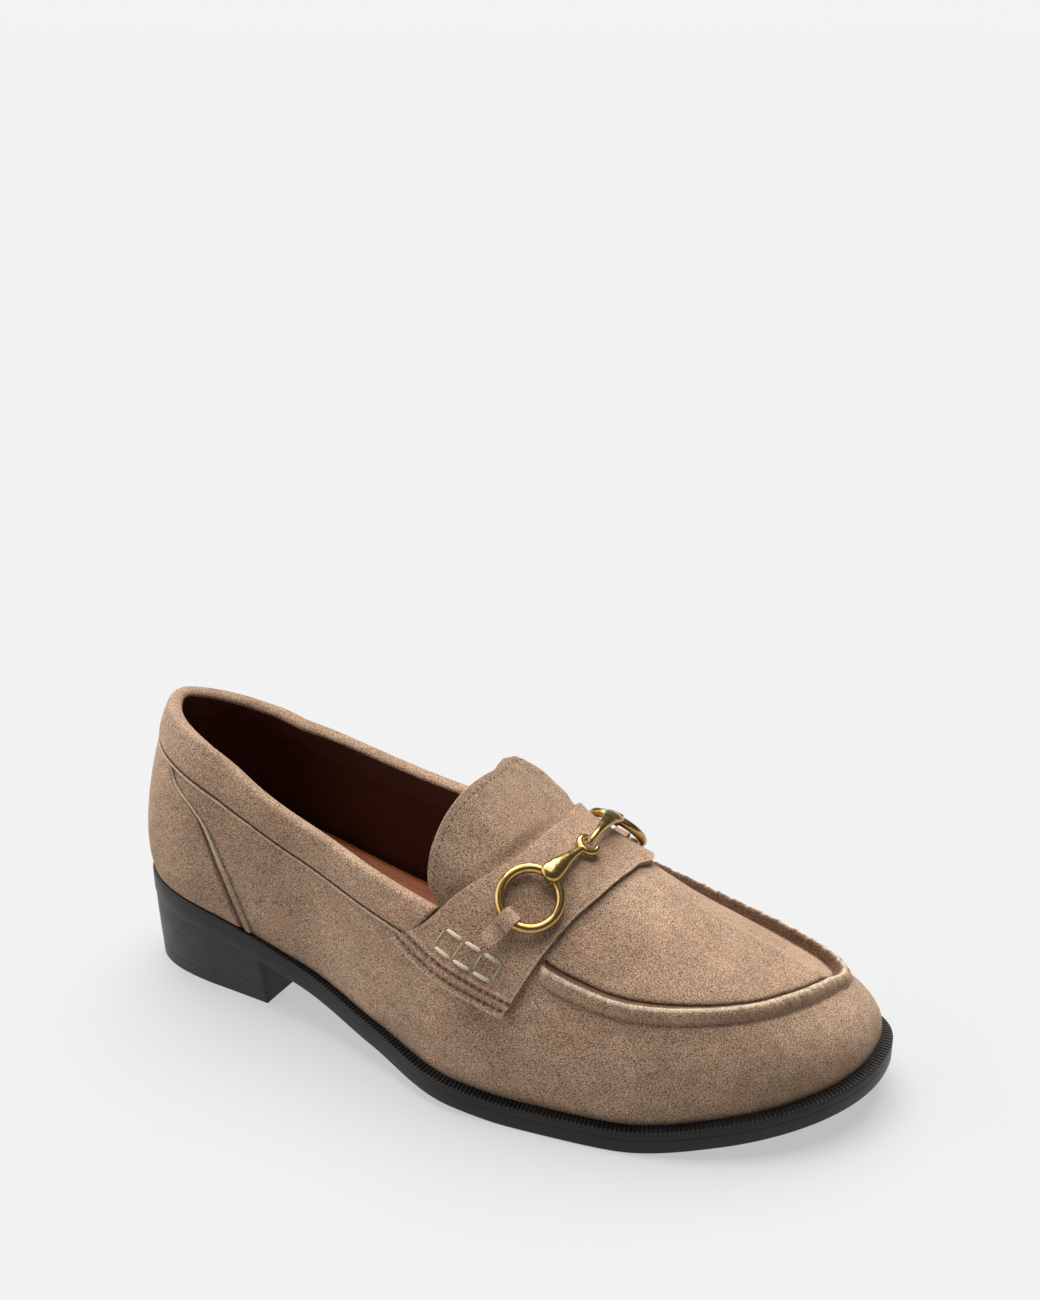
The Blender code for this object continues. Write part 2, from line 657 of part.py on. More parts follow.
def bar_path(side, shape, short):
    """Points of a bar from its wide end on the ring's wire to the eye, with their up directions and radii."""
    share = np.linspace(0.0, 1.0, BAR_SECTIONS)
    ring_x = RING_X + STRAP_SKEW * (side > 0)
    past_crest = np.linspace(side * (CREST - RING_ANGLE), EYE_ANGLE - CREST, BAR_SAMPLES)
    x = np.linspace(ring_x, EYE_X, BAR_SAMPLES)
    steps = np.diff(over_crest(x, past_crest, skin, RING_LIFT), axis=0)
    run = np.concatenate([[0.0], np.cumsum(np.linalg.norm(steps, axis=1))])
    start = RING_RADIUS - BAR_OVERHANG
    wanted = start + (run[-1] - short - start) * share
    past_crest = np.interp(wanted, run, past_crest)
    x = np.interp(wanted, run, x)
    path = over_crest(x, past_crest, skin, RING_LIFT + read(shape, "rise", share))
    return path, over_crest(x, past_crest, last_normal), read(shape, "radius", share)


def make_lateral_bar():
    """Outer half of the bit: a teardrop over the ring's wire, drawn out to an eye on the crown."""
    bm = bmesh.new()
    add_rod(bm, *bar_path(LATERAL, BAR_SHAPE, EYE_RADIUS))
    bar = finish(bm, "bit_bar_lateral", BRASS)
    eye_bm = bmesh.new()
    add_wire_ring(eye_bm, EYE_RADIUS, EYE_WIRE)
    eye = finish(eye_bm, "bit_eye", BRASS)
    centre = Vector(skin(station_of(EYE_X), LATERAL, EYE_ANGLE, RING_LIFT)) * MM
    normal = Vector(last_normal(station_of(EYE_X), LATERAL, EYE_ANGLE))
    eye.matrix_world = Matrix.Translation(centre) @ normal.to_track_quat("Z", "Y").to_matrix().to_4x4()
    eye.hide_render = True
    eye.display_type = "WIRE"
    join = bar.modifiers.new("eye", "BOOLEAN")
    join.operation = "UNION"
    join.object = eye
    return bar, eye, cut_room(bar, LATERAL)


def make_medial_bar():
    """Inner half of the bit: a flared end over the ring's wire and a thin stem that hooks into the eye."""
    bm = bmesh.new()
    add_rod(bm, *bar_path(MEDIAL, STEM_SHAPE, 0.0))
    bar = finish(bm, "bit_bar_medial", BRASS)
    return bar, cut_room(bar, MEDIAL)


def make_tab(name, side):
    """Short leather tab from a slit in the strap over the ring's wire, ending inside the ring."""
    frame = ring_frame(side)
    width = np.linspace(-TAB_WIDTH / 2, TAB_WIDTH / 2, TAB_COLUMNS)
    turns = np.linspace(math.pi, 0.0, TAB_BENDS)
    bend = RING_WIRE + METAL_CLEAR
    seat = -RING_WIRE - METAL_CLEAR + GAP
    centre = -RING_RADIUS

    def strip(thick):
        arch = [(centre + (bend + thick) * math.cos(t), (bend + thick) * math.sin(t)) for t in turns]
        arch = [(r, max(h, seat + thick)) for r, h in arch]
        start = (centre - bend - TAB_REACH, seat + thick)
        end = (centre + bend + TAB_INSIDE, seat + thick)
        line = [start, *arch, end]
        return np.array([[frame @ Vector((r * MM, w * MM, h * MM)) / MM for w in width] for r, h in line])

    return closed_patch(name, strip(TAB_THICK), strip(0.0))


def sole_line(stations, sides, out):
    """Plan points of the feather line moved out by a margin, with z left at the feather line."""
    low = np.clip(stations - EDGE_STEP, 0.0, LAST_STATION)
    high = np.clip(stations + EDGE_STEP, 0.0, LAST_STATION)
    along = last_point(high, sides, 0.0) - last_point(low, sides, 0.0)
    across = np.stack([along[..., 1], -along[..., 0]], -1) * -sides[..., None]
    tip = (stations < EDGE_STEP) | (stations > LAST_STATION - EDGE_STEP)
    lengthwise = np.stack([np.sign(stations - 1.0), np.zeros_like(stations)], -1)
    across = np.where(tip[..., None], lengthwise, across)
    across = across / np.linalg.norm(across, axis=-1, keepdims=True)
    points = last_point(stations, sides, 0.0)
    points[..., :2] += np.broadcast_to(out, stations.shape)[..., None] * across
    return points


def add_caps(bm, ring):
    """Strips across a ring of vertices, from each outer-side vertex to its partner on the inner side."""
    half = len(ring) // 2
    for k in range(half):
        quad = (ring[k], ring[k + 1], ring[mirror_column(k + 1)], ring[mirror_column(k)])
        bm.faces.new(list(dict.fromkeys(quad)))


def make_outsole():
    """Cut sheet with the shoe's outline, arch and toe spring, its forefoot flat on the floor."""
    stations, sides = outline_ring()
    margin = read(MARGIN, "out", stations)
    top = STACK - OUTSOLE_THICK
    section = ((STACK, EDGE_ROUND), (STACK - EDGE_ROUND, 0.0), (top + EDGE_ROUND, 0.0), (top, EDGE_ROUND))
    rings = []
    for depth, inset in section:
        line = sole_line(stations, sides, margin - inset)
        line[:, 2] -= depth
        rings.append(line)
    bm = bmesh.new()
    verts = add_sheet(bm, rings, wrap=True)
    add_caps(bm, verts[0])
    add_caps(bm, verts[-1])
    return finish(bm, "outsole", SOLE_BLACK)


def make_welt():
    """Narrow strip round the outline between upper and outsole."""
    stations, sides = outline_ring()
    margin = read(MARGIN, "out", stations)
    low = GAP + WELT_THICK
    inside = np.full(len(margin), -WELT_INSET)
    rounded = margin - EDGE_ROUND
    section = ((low, inside), (low, rounded), (low - EDGE_ROUND, margin),
               (GAP + EDGE_ROUND, margin), (GAP, rounded), (GAP, inside))
    rings = []
    for depth, out in section:
        line = sole_line(stations, sides, out)
        line[:, 2] -= depth
        rings.append(line)
    bm = bmesh.new()
    verts = add_sheet(bm, rings, wrap=True)
    join_rows(bm, verts[-1], verts[0], wrap=True)
    return finish(bm, "welt", SOLE_BLACK)


def make_heel():
    """Stacked block under the seat: its top follows the outsole and its flat bottom stands on the floor."""
    breast = station_of(HEEL_BREAST_X)
    back = np.linspace(0.0, 1.0, BLOCK_STATIONS + 1)
    one_side = np.concatenate([back, np.linspace(1.0, breast, BLOCK_SIDES + 1)[1:]])
    stations = np.concatenate([one_side[::-1], one_side[1:]])
    sides = np.concatenate([np.full(len(one_side), LATERAL), np.full(len(one_side) - 1, MEDIAL)])
    margin = read(MARGIN, "out", stations)
    taper = BACK_TAPER + (1 - BACK_TAPER) * ease(stations, *TAPER_SIDES)
    rings = []
    for height, inset in zip(HEEL_TAPER["height"], HEEL_TAPER["inset"]):
        line = sole_line(stations, sides, margin - inset * taper)
        line[:, 2] = (line[:, 2] - STACK - GAP) * height
        rings.append(line)
    bm = bmesh.new()
    verts = add_sheet(bm, rings)
    last = len(one_side) - 1
    for ring in (verts[0], verts[-1]):
        for k in range(last):
            quad = (ring[k], ring[k + 1], ring[-2 - k], ring[-1 - k])
            bm.faces.new(list(dict.fromkeys(quad)))
    join_rows(bm, [row[0] for row in verts], [row[-1] for row in verts])
    return finish(bm, "heel", SOLE_BLACK)


def make_insole():
    """Footbed inside the upper, on the outsole, raised towards the inner side at the arch."""
    stations, sides = outline_ring()
    half = len(stations) // 2
    edge = sole_line(stations, sides, np.full(len(stations), -INSOLE_INSET))
    base = edge.copy()
    base[:, 2] -= STACK - OUTSOLE_THICK - GAP
    lateral = edge[:half + 1]
    medial = edge[[mirror_column(k) for k in range(half + 1)]]
    rows = []
    for share in np.linspace(0.0, 1.0, INSOLE_ROWS):
        row = lateral + (medial - lateral) * share
        row[:, 2] += INSOLE_TOP + read(ARCH_RISE, "rise", row[:, 0]) * share ** ARCH_POWER
        rows.append(row)
    bm = bmesh.new()
    top = add_sheet(bm, rows)
    low = [bm.verts.new(p * MM) for p in base]
    add_caps(bm, low)
    join_rows(bm, top[0], low[:half + 1])
    join_rows(bm, top[-1], [low[mirror_column(k)] for k in range(half + 1)])
    return finish(bm, "insole", INSOLE_TAN)


for old in list(bpy.data.objects):
    bpy.data.objects.remove(old, do_unlink=True)

pieces = [
    make_outsole(),
    make_heel(),
    make_welt(),
    make_insole(),
    make_upper(),
    make_counter(),
    make_collar(),
    make_tongue(),
    make_strap(),
    make_tab("ring_tab_lateral", LATERAL),
    make_tab("ring_tab_medial", MEDIAL),
    make_ring("bit_ring_lateral", LATERAL),
    make_ring("bit_ring_medial", MEDIAL),
    *make_lateral_bar(),
    *make_medial_bar(),
]

# The part's origin is on the floor under the middle of the shoe.
corners = np.array([piece.matrix_world @ Vector(corner) for piece in pieces for corner in piece.bound_box])
middle = (corners.min(axis=0) + corners.max(axis=0)) / 2
shoe = bpy.data.objects.new("shoe", None)
bpy.context.scene.collection.objects.link(shoe)
for piece in pieces:
    piece.parent = shoe
shoe.location = (-middle[0], -middle[1], 0.0)
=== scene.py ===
import json
import math

import bmesh
import bpy
import numpy as np
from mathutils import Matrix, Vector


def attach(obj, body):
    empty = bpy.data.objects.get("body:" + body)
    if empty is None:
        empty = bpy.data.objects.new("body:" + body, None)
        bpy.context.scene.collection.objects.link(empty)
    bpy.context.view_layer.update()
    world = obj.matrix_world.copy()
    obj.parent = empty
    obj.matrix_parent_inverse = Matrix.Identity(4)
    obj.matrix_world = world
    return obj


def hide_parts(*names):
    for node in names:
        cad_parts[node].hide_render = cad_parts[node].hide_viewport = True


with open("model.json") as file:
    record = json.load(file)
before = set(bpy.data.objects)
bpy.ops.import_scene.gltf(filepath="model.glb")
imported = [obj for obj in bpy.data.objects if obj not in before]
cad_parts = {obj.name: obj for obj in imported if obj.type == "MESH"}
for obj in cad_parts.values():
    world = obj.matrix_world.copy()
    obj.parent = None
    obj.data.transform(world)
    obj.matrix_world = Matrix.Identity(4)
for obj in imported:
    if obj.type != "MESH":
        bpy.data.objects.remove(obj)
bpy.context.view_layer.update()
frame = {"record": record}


# Outsole
# A sheet of sole leather cut to the outline of the last, with the arch and the toe's spring bent into it.
# Its edge is trimmed square, eased at both corners, dyed black and waxed. It is cemented under the welt.

MM = 0.001
MERGE = 0.001 * MM
QUARTER_TURN = math.pi / 2
FULL_TURN = 2 * math.pi
HEEL_TREAD = (28.0, 0.0, 0.0)
LAST_LENGTH = 258.0
SEAT_X = 40.0
BALL_X = 185.0
HEEL_ROUND = 2.6
TOE_ROUND = 2.25
INFLARE_FROM = 100.0
TIP_INFLARE = 24.0
TIP = 3.0
RING = 2 * TIP
STEP = 0.002
STACK = 8.1
WELT_GAP = 0.3
WELT_THICK = 3.0
CEMENT = 0.03
EDGE_ROUND = 0.7
JOINT_ROUND = 0.14
SOLE_COLUMNS = 241
CAP_ROWS = 9


def table(names, *rows):
    """A short table with named columns, one row for each section."""
    return dict(zip(names.split(), np.array(rows, float).T))


WIDTHS = table("x lateral medial", (40, 28.5, 27.5), (75, 29.5, 26.5), (110, 36.5, 28.5), (145, 45.5, 35.0),
               (185, 45.5, 38.0))
FEATHER = table("x z", (0, 37.5), (40, 31.5), (75, 23.5), (110, 15.5), (140, 10.2), (163, 8.1), (195, 8.1),
                (225, 12.5), (258, 18.5))
MARGIN = table("station out", (0.0, 2.2), (0.9, 2.2), (1.35, 2.8), (1.8, 4.0), (3.0, 4.0))


def smooth(x, xs, ys):
    """Monotone cubic through the rows of a table: it never overshoots, and flat stretches stay flat."""
    step = np.diff(xs)
    slope = np.diff(ys) / step
    before, after = slope[:-1], slope[1:]
    same = before * after > 0
    weight_a = 2 * step[1:] + step[:-1]
    weight_b = step[1:] + 2 * step[:-1]
    blend = np.where(same, weight_a * after + weight_b * before, 1.0)
    inner = np.where(same, (weight_a + weight_b) * before * after / blend, 0.0)
    tangent = np.concatenate([slope[:1], inner, slope[-1:]])
    x = np.clip(x, xs[0], xs[-1])
    k = np.clip(np.searchsorted(xs, x, side="right") - 1, 0, len(xs) - 2)
    t = (x - xs[k]) / step[k]
    rise = ys[k] * (1 + 2 * t) * (1 - t) ** 2 + ys[k + 1] * t * t * (3 - 2 * t)
    return rise + step[k] * t * (1 - t) * (tangent[k] * (1 - t) - tangent[k + 1] * t)


def read(rows, column, value):
    """A column of a table at any value of its first column."""
    first = next(iter(rows))
    return smooth(np.asarray(value, float), rows[first], rows[column])


def ease(x, start, end):
    """Zero before start, one after end, and a smooth step between them."""
    t = np.clip((x - start) / (end - start), 0.0, 1.0)
    return t * t * (3 - 2 * t)


def unit(vectors):
    """Vectors scaled to length one."""
    return vectors / np.linalg.norm(vectors, axis=-1, keepdims=True)


def axis_y(x):
    """The last's centre line: straight to the waist, then bent inwards with the square of the way."""
    t = np.clip((x - INFLARE_FROM) / (LAST_LENGTH - INFLARE_FROM), 0.0, None)
    return TIP_INFLARE * t * t


def feather_plan(station, side, heel_round=HEEL_ROUND):
    """Plan of the feather line: superellipses round heel (0 to 1) and toe (2 to 3), widths between."""
    heel = np.clip(station, 0.0, 1.0) * QUARTER_TURN
    toe = np.clip(station - 2.0, 0.0, 1.0) * QUARTER_TURN
    middle_x = SEAT_X + (BALL_X - SEAT_X) * np.clip(station - 1.0, 0.0, 1.0)
    heel_x = SEAT_X * (1 - np.clip(np.cos(heel), 0, 1) ** (2 / heel_round))
    toe_x = BALL_X + (LAST_LENGTH - BALL_X) * np.sin(toe) ** (2 / TOE_ROUND)
    width = np.where(side < 0, read(WIDTHS, "lateral", middle_x), read(WIDTHS, "medial", middle_x))
    heel_share = np.sin(heel) ** (2 / heel_round)
    toe_share = np.clip(np.cos(toe), 0, 1) ** (2 / TOE_ROUND)
    x = np.where(station < 1, heel_x, np.where(station < 2, middle_x, toe_x))
    share = np.where(station < 1, heel_share, np.where(station < 2, 1.0, toe_share))
    return x, width * share, middle_x


def ring_place(u):
    """Station and side of a place on the ring: up the outer side to the toe, back down the inner."""
    u = np.mod(u, RING)
    return np.where(u <= TIP, u, RING - u), np.where(u <= TIP, -1.0, 1.0)


def feather_point(u):
    """Point of the feather line at a place on the ring."""
    station, side = ring_place(u)
    x, width, _ = feather_plan(station, side)
    return np.stack([x, axis_y(x) + side * width, read(FEATHER, "z", x)], -1)


def sole_line(u, out, down=0.0):
    """The feather line moved out by a margin, square to itself in plan, and down by a depth."""
    along = feather_point(u + STEP) - feather_point(u - STEP)
    outward = unit(np.stack([along[..., 1], -along[..., 0], np.zeros_like(along[..., 0])], -1))
    points = feather_point(u) + np.asarray(out)[..., None] * outward
    points[..., 2] -= down
    return points


def margin(u):
    """How far the sole stands out from the feather line."""
    return read(MARGIN, "out", ring_place(u)[0])


def paired_ring(one_side):
    """The same stations on both sides, once round the shoe."""
    return np.concatenate([one_side, RING - one_side[-2:0:-1]])


def mirrored(grid):
    """The columns of a paired ring in the order of their partners on the other side."""
    return np.concatenate([grid[..., :1, :], grid[..., :0:-1, :]], axis=-2)


def cap(ring, rows=CAP_ROWS):
    """Straight rows across a paired ring, from its outer side to its inner side."""
    half = len(ring) // 2
    lateral, medial = ring[:half + 1], mirrored(ring)[:half + 1]
    return lateral + (medial - lateral) * np.linspace(0.0, 1.0, rows)[:, None, None]


def eased_edge(low, high, low_round, high_round, steps=5):
    """Side of a trimmed edge as (depth, inset) rows, bottom to top, a quarter round at both corners."""
    turn = np.linspace(0.0, QUARTER_TURN, steps)
    bottom = np.stack([low - low_round * (1 - np.cos(turn)), low_round * (1 - np.sin(turn))], -1)
    top = np.stack([high + high_round * (1 - np.sin(turn)), high_round * (1 - np.cos(turn))], -1)
    return np.concatenate([bottom, top])


tread = next(m for m in frame["record"]["mounts"] if m["name"] == "heel_tread")
ORIGIN = np.array(HEEL_TREAD) - np.array(tread["pos_m"]) / MM


def grid_quads(rows, columns, wrapped):
    """Corner numbers of a grid's quads; a wrapped grid also joins its last column to its first."""
    row, column = np.meshgrid(np.arange(rows - 1), np.arange(columns - (not wrapped)), indexing="ij")
    after = (column + 1) % columns
    corners = (row * columns + column, row * columns + after, (row + 1) * columns + after,
               (row + 1) * columns + column)
    return np.stack(corners, -1).reshape(-1, 4)


def make_piece(name, sheets, material, slot, *nodes, masks=None, edge=None):
    """One mesh from (points, wrapped) grids in the last's millimetres, joined where they touch, facing out.

    A mask is a named value at every point of the first grid, and zero on the others. An edge is a second
    material, with the number of the first grid that takes it.
    """
    counts = [points.shape[0] * points.shape[1] for points, _ in sheets]
    starts = np.concatenate([[0], np.cumsum(counts)])
    places = np.concatenate([points.reshape(-1, 3) for points, _ in sheets])
    quads = [grid_quads(*points.shape[:2], wrapped) + start
             for (points, wrapped), start in zip(sheets, starts)]
    mesh = bpy.data.meshes.new(name)
    mesh.from_pydata(((places - ORIGIN) * MM).tolist(), [], np.concatenate(quads).tolist())
    mesh.materials.append(material)
    if edge:
        mesh.materials.append(edge[0])
        on_edge = np.arange(len(mesh.polygons)) >= sum(len(part) for part in quads[:edge[1]])
        mesh.polygons.foreach_set("material_index", on_edge.astype(np.int32))
    for mask, values in (masks or {}).items():
        attribute = mesh.attributes.new(mask, "FLOAT", "POINT")
        full = np.zeros(len(places), np.float32)
        full[:counts[0]] = values.reshape(-1)
        attribute.data.foreach_set("value", full)
    bm = bmesh.new()
    bm.from_mesh(mesh)
    bmesh.ops.remove_doubles(bm, verts=bm.verts, dist=MERGE)
    bmesh.ops.dissolve_degenerate(bm, edges=bm.edges, dist=MERGE)
    bmesh.ops.recalc_face_normals(bm, faces=bm.faces)
    bm.to_mesh(mesh)
    bm.free()
    mesh.shade_smooth()
    piece = bpy.data.objects.new(name, mesh)
    bpy.context.scene.collection.objects.link(piece)
    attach(piece, "root")
    if nodes:
        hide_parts(*nodes)
    return piece


def take_off_corners(piece, width, angle=50, segments=2):
    """Cut edges of a piece eased by a narrow bevel."""
    bevel = piece.modifiers.new("eased corners", "BEVEL")
    bevel.width = width * MM
    bevel.segments = segments
    bevel.limit_method = "ANGLE"
    bevel.angle_limit = math.radians(angle)


def srgb(red, green, blue):
    """A colour given in screen values from 0 to 255, as the linear values that shaders take."""
    share = np.array((red, green, blue)) / 255
    bright = np.where(share > 0.04045, ((share + 0.055) / 1.055) ** 2.4, share / 12.92)
    return (*bright.tolist(), 1.0)


def new_material(name, **values):
    """A Principled material with socket values that are the same all over, with its tree and shader."""
    material = bpy.data.materials.new(name)
    material.use_nodes = True
    shader = material.node_tree.nodes["Principled BSDF"]
    for socket, value in values.items():
        shader.inputs[socket.replace("_", " ")].default_value = value
    return material, material.node_tree, shader


def add_node(tree, kind, settings=None, **inputs):
    """A node with its settings; each input is a value, or the output that it is linked to."""
    node = tree.nodes.new(kind)
    for name, value in (settings or {}).items():
        setattr(node, name, value)
    for name, value in inputs.items():
        join(tree, node.inputs[name], value)
    return node


def join(tree, socket, value):
    """Link an output to a socket, or set the socket's own value."""
    if isinstance(value, bpy.types.NodeSocket):
        tree.links.new(value, socket)
    else:
        socket.default_value = value


def vary(tree, shader, **inputs):
    """Link what varies over the surface to the shader's sockets."""
    for socket, value in inputs.items():
        join(tree, shader.inputs[socket.replace("_", " ")], value)


def object_place(tree):
    """Place on the piece, in metres."""
    return add_node(tree, "ShaderNodeTexCoord").outputs["Object"]


def noise(tree, place, size, detail=2.0, roughness=0.5):
    """Cloudy values from 0 to 1 with patches of a size in millimetres."""
    node = add_node(tree, "ShaderNodeTexNoise", None, Vector=place, Scale=1 / (size * MM), Detail=detail,
                    Roughness=roughness)
    return node.outputs["Fac"]


def remap(tree, value, low, high, to_low=0.0, to_high=1.0):
    """Values from low to high stretched to another range and held there."""
    node = tree.nodes.new("ShaderNodeMapRange")
    for name, number in (("Value", value), ("From Min", low), ("From Max", high), ("To Min", to_low),
                         ("To Max", to_high)):
        join(tree, node.inputs[name], number)
    return node.outputs["Result"]


def mix(tree, share, first, second, blend="MIX"):
    """Two colours mixed by a share."""
    node = add_node(tree, "ShaderNodeMix", {"data_type": "RGBA", "blend_type": blend})
    for index, value in ((0, share), (6, first), (7, second)):
        join(tree, node.inputs[index], value)
    return node.outputs[2]


def bump(tree, height, depth, strength=1.0, under=None):
    """Surface relief of a depth in millimetres, over another relief."""
    node = add_node(tree, "ShaderNodeBump", None, Height=height, Distance=depth * MM, Strength=strength)
    if under is not None:
        tree.links.new(under, node.inputs["Normal"])
    return node.outputs["Normal"]


def black_leather(name, colour, worn, rough):
    """Dyed and waxed edge: nearly black, with faint cloudy wear and fibre lines along the cut."""
    material, tree, shader = new_material(name, Specular_IOR_Level=0.3, Coat_Weight=0.08, Coat_Roughness=0.35)
    place = object_place(tree)
    clouds = noise(tree, place, size=9.0, detail=4.0, roughness=0.6)
    fine = noise(tree, place, size=0.6, detail=3.0, roughness=0.6)
    vary(tree, shader, Base_Color=mix(tree, remap(tree, clouds, 0.35, 0.75), colour, worn),
         Roughness=remap(tree, clouds, 0.3, 0.7, rough - 0.06, rough + 0.08),
         Normal=bump(tree, fine, depth=0.12, strength=0.35))
    return material


SOLE_BLACK = srgb(18, 18, 17)
SOLE_WORN = srgb(25, 24, 23)
sole_edge = black_leather("waxed sole edge", SOLE_BLACK, SOLE_WORN, 0.42)

sole_ring = paired_ring(np.linspace(0.0, TIP, SOLE_COLUMNS))
outsole_top = WELT_GAP + WELT_THICK + CEMENT
outsole_side = np.array([sole_line(sole_ring, margin(sole_ring) - inset, depth)
                         for depth, inset in eased_edge(STACK, outsole_top, EDGE_ROUND, JOINT_ROUND)])
outsole_caps = [(cap(outsole_side[k]), False) for k in (0, -1)]
make_piece("outsole", [(outsole_side, True), *outsole_caps], sole_edge, "sole", "outsole")


# Heel
# A block of leather lifts, stacked and cemented under the seat, trimmed to a slight taper and blackened.
# Its lifts show as faint lines round the side, and a thicker top piece meets the floor.

HEEL_GAP = 0.3
HEEL_BREAST_X = 58.0
HEEL_TAPER = table("height inset", (0.0, 3.6), (0.35, 2.4), (0.75, 1.2), (1.0, 0.8))
BACK_TAPER = 0.15
TAPER_SIDES = (0.1, 0.9)
TOP_PIECE = 5.5
LIFTS = 6
LIFT_PITCH = 3.1
LIFT_GROOVE = 0.06
TOP_PIECE_GROOVE = 0.12
GROOVE_WIDE = 0.35
HEEL_ROWS = 150
HEEL_COLUMNS = 60
BREAST_COLUMNS = 12
HEEL_CORNER = 0.8


def bell(value, middle, wide):
    """A bell curve of height one."""
    return np.exp(-((value - middle) / wide) ** 2)


breast_station = 1.0 + (HEEL_BREAST_X - SEAT_X) / (BALL_X - SEAT_X)
heel_u = np.linspace(-breast_station, breast_station, 2 * HEEL_COLUMNS + 1)
heel_share = np.linspace(0.0, 1.0, HEEL_ROWS)[:, None]
heel_z = (feather_point(heel_u)[:, 2] - STACK - HEEL_GAP) * heel_share
lift_lines = sum(LIFT_GROOVE * bell(heel_z, TOP_PIECE + LIFT_PITCH * lift, GROOVE_WIDE)
                 for lift in range(1, LIFTS + 1))
heel_taper = BACK_TAPER + (1 - BACK_TAPER) * ease(ring_place(heel_u)[0], *TAPER_SIDES)
heel_inset = read(HEEL_TAPER, "inset", heel_share) * heel_taper + lift_lines
heel_inset = heel_inset + TOP_PIECE_GROOVE * bell(heel_z, TOP_PIECE, GROOVE_WIDE)
heel_side = sole_line(np.broadcast_to(heel_u, heel_z.shape), margin(heel_u) - heel_inset)
heel_side[..., 2] = heel_z
breast_share = np.linspace(0, 1, BREAST_COLUMNS)[:, None]
breast = heel_side[:, :1] + (heel_side[:, -1:] - heel_side[:, :1]) * breast_share


def heel_cap(row):
    """Straight rows across one level of the block, from its outer side to its inner side."""
    lateral, medial = row[HEEL_COLUMNS:], row[HEEL_COLUMNS::-1]
    return lateral + (medial - lateral) * np.linspace(0.0, 1.0, CAP_ROWS)[:, None, None]


heel_caps = [(heel_cap(heel_side[k]), False) for k in (0, -1)]
heel = make_piece("heel", [(heel_side, False), (breast, False), *heel_caps], sole_edge, "sole", "heel")
take_off_corners(heel, HEEL_CORNER, angle=60, segments=3)


# Welt
# A black strip sewn round the foot of the upper and cemented on the outsole. The outer part of its upper face
# is rolled into fine ribs across the strip, which fade out where the strip narrows round the heel.

WELT_INSET = 2.2
RIB_PITCH = 1.35
RIB_HEIGHT = 0.8
RIB_SAMPLES = 6
RIB_SHARP = 0.6
RIB_FADE = (1.02, 1.3)
RIB_REACH = (0.45, 0.75)
RING_SAMPLES = 6001
WELT_SHARES = np.linspace(0.1, 1.0, 8)
WELT_BLACK = srgb(12, 11, 10)
WELT_WORN = srgb(24, 22, 21)


def run_along(points):
    """Distance along a line of points, counted from its first point."""
    return np.concatenate([[0.0], np.cumsum(np.linalg.norm(np.diff(points, axis=0), axis=1))])


def even_ring(spacing):
    """Places on the ring at an even spacing along the feather line, and their numbers."""
    fine = np.linspace(0.0, RING, RING_SAMPLES)
    run = run_along(feather_point(fine))
    count = RIB_SAMPLES * round(run[-1] / (spacing * RIB_SAMPLES))
    wanted = np.linspace(0.0, run[-1], count, endpoint=False)
    return np.interp(wanted, run, fine), np.arange(count)


welt_u, welt_column = even_ring(RIB_PITCH / RIB_SAMPLES)
rib_wave = (0.5 - 0.5 * np.cos(FULL_TURN * welt_column / RIB_SAMPLES)) ** RIB_SHARP
rib = RIB_HEIGHT * (rib_wave - 1.0) * ease(ring_place(welt_u)[0], *RIB_FADE)
welt_low = WELT_GAP + WELT_THICK
welt_out = margin(welt_u)
welt_side = [sole_line(welt_u, welt_out - inset,
                       depth - rib * (inset / EDGE_ROUND) * (depth < welt_low / 2))
             for depth, inset in eased_edge(welt_low, WELT_GAP, JOINT_ROUND, EDGE_ROUND)]
welt_top = [sole_line(welt_u, (welt_out - EDGE_ROUND) * (1 - share) - WELT_INSET * share,
                      WELT_GAP - rib * (1 - ease(share, *RIB_REACH)))
            for share in WELT_SHARES]
welt_foot = sole_line(welt_u, np.full(len(welt_u), -WELT_INSET), welt_low)
welt_rubber = black_leather("ribbed welt", WELT_BLACK, WELT_WORN, 0.5)
welt_rows = np.array([welt_foot, *welt_side, *welt_top, welt_foot])
make_piece("welt", [(welt_rows, True)], welt_rubber, "welt", "welt")


# Insole
# A footbed covered in smooth tan leather, laid on the outsole inside the upper and raised under the arch.
# A row of tan thread runs just inside its edge.

INSOLE_INSET = 2.8
INSOLE_TOP = 4.0
INSOLE_BASE = 3.2
ARCH_POWER = 3
ARCH_RISE = table("x rise", (4, 0.0), (60, 7.0), (95, 7.5), (140, 2.0), (170, 0.0))
INSOLE_ROWS = 41
PEBBLE = 0.7
TAN = srgb(196, 104, 34)
TAN_DARK = srgb(168, 84, 26)
TAN_THREAD = srgb(214, 138, 74)
TAN_THREAD_DARK = srgb(150, 84, 38)
EDGE_ROW = 3.4
ROW_REACH = (0.15, 2.95)
ROW_SAMPLES = 700


def insole_top(u, share):
    """Top of the footbed on a straight row from outer edge (0) to inner edge (1), raised at the arch."""
    lateral = sole_line(u, np.full(u.shape, -INSOLE_INSET))
    medial = sole_line(RING - u, np.full(u.shape, -INSOLE_INSET))
    share = np.broadcast_to(share, lateral.shape[:-1])[..., None]
    points = lateral + (medial - lateral) * share
    points[..., 2] += INSOLE_TOP + read(ARCH_RISE, "rise", points[..., 0]) * share[..., 0] ** ARCH_POWER
    return points


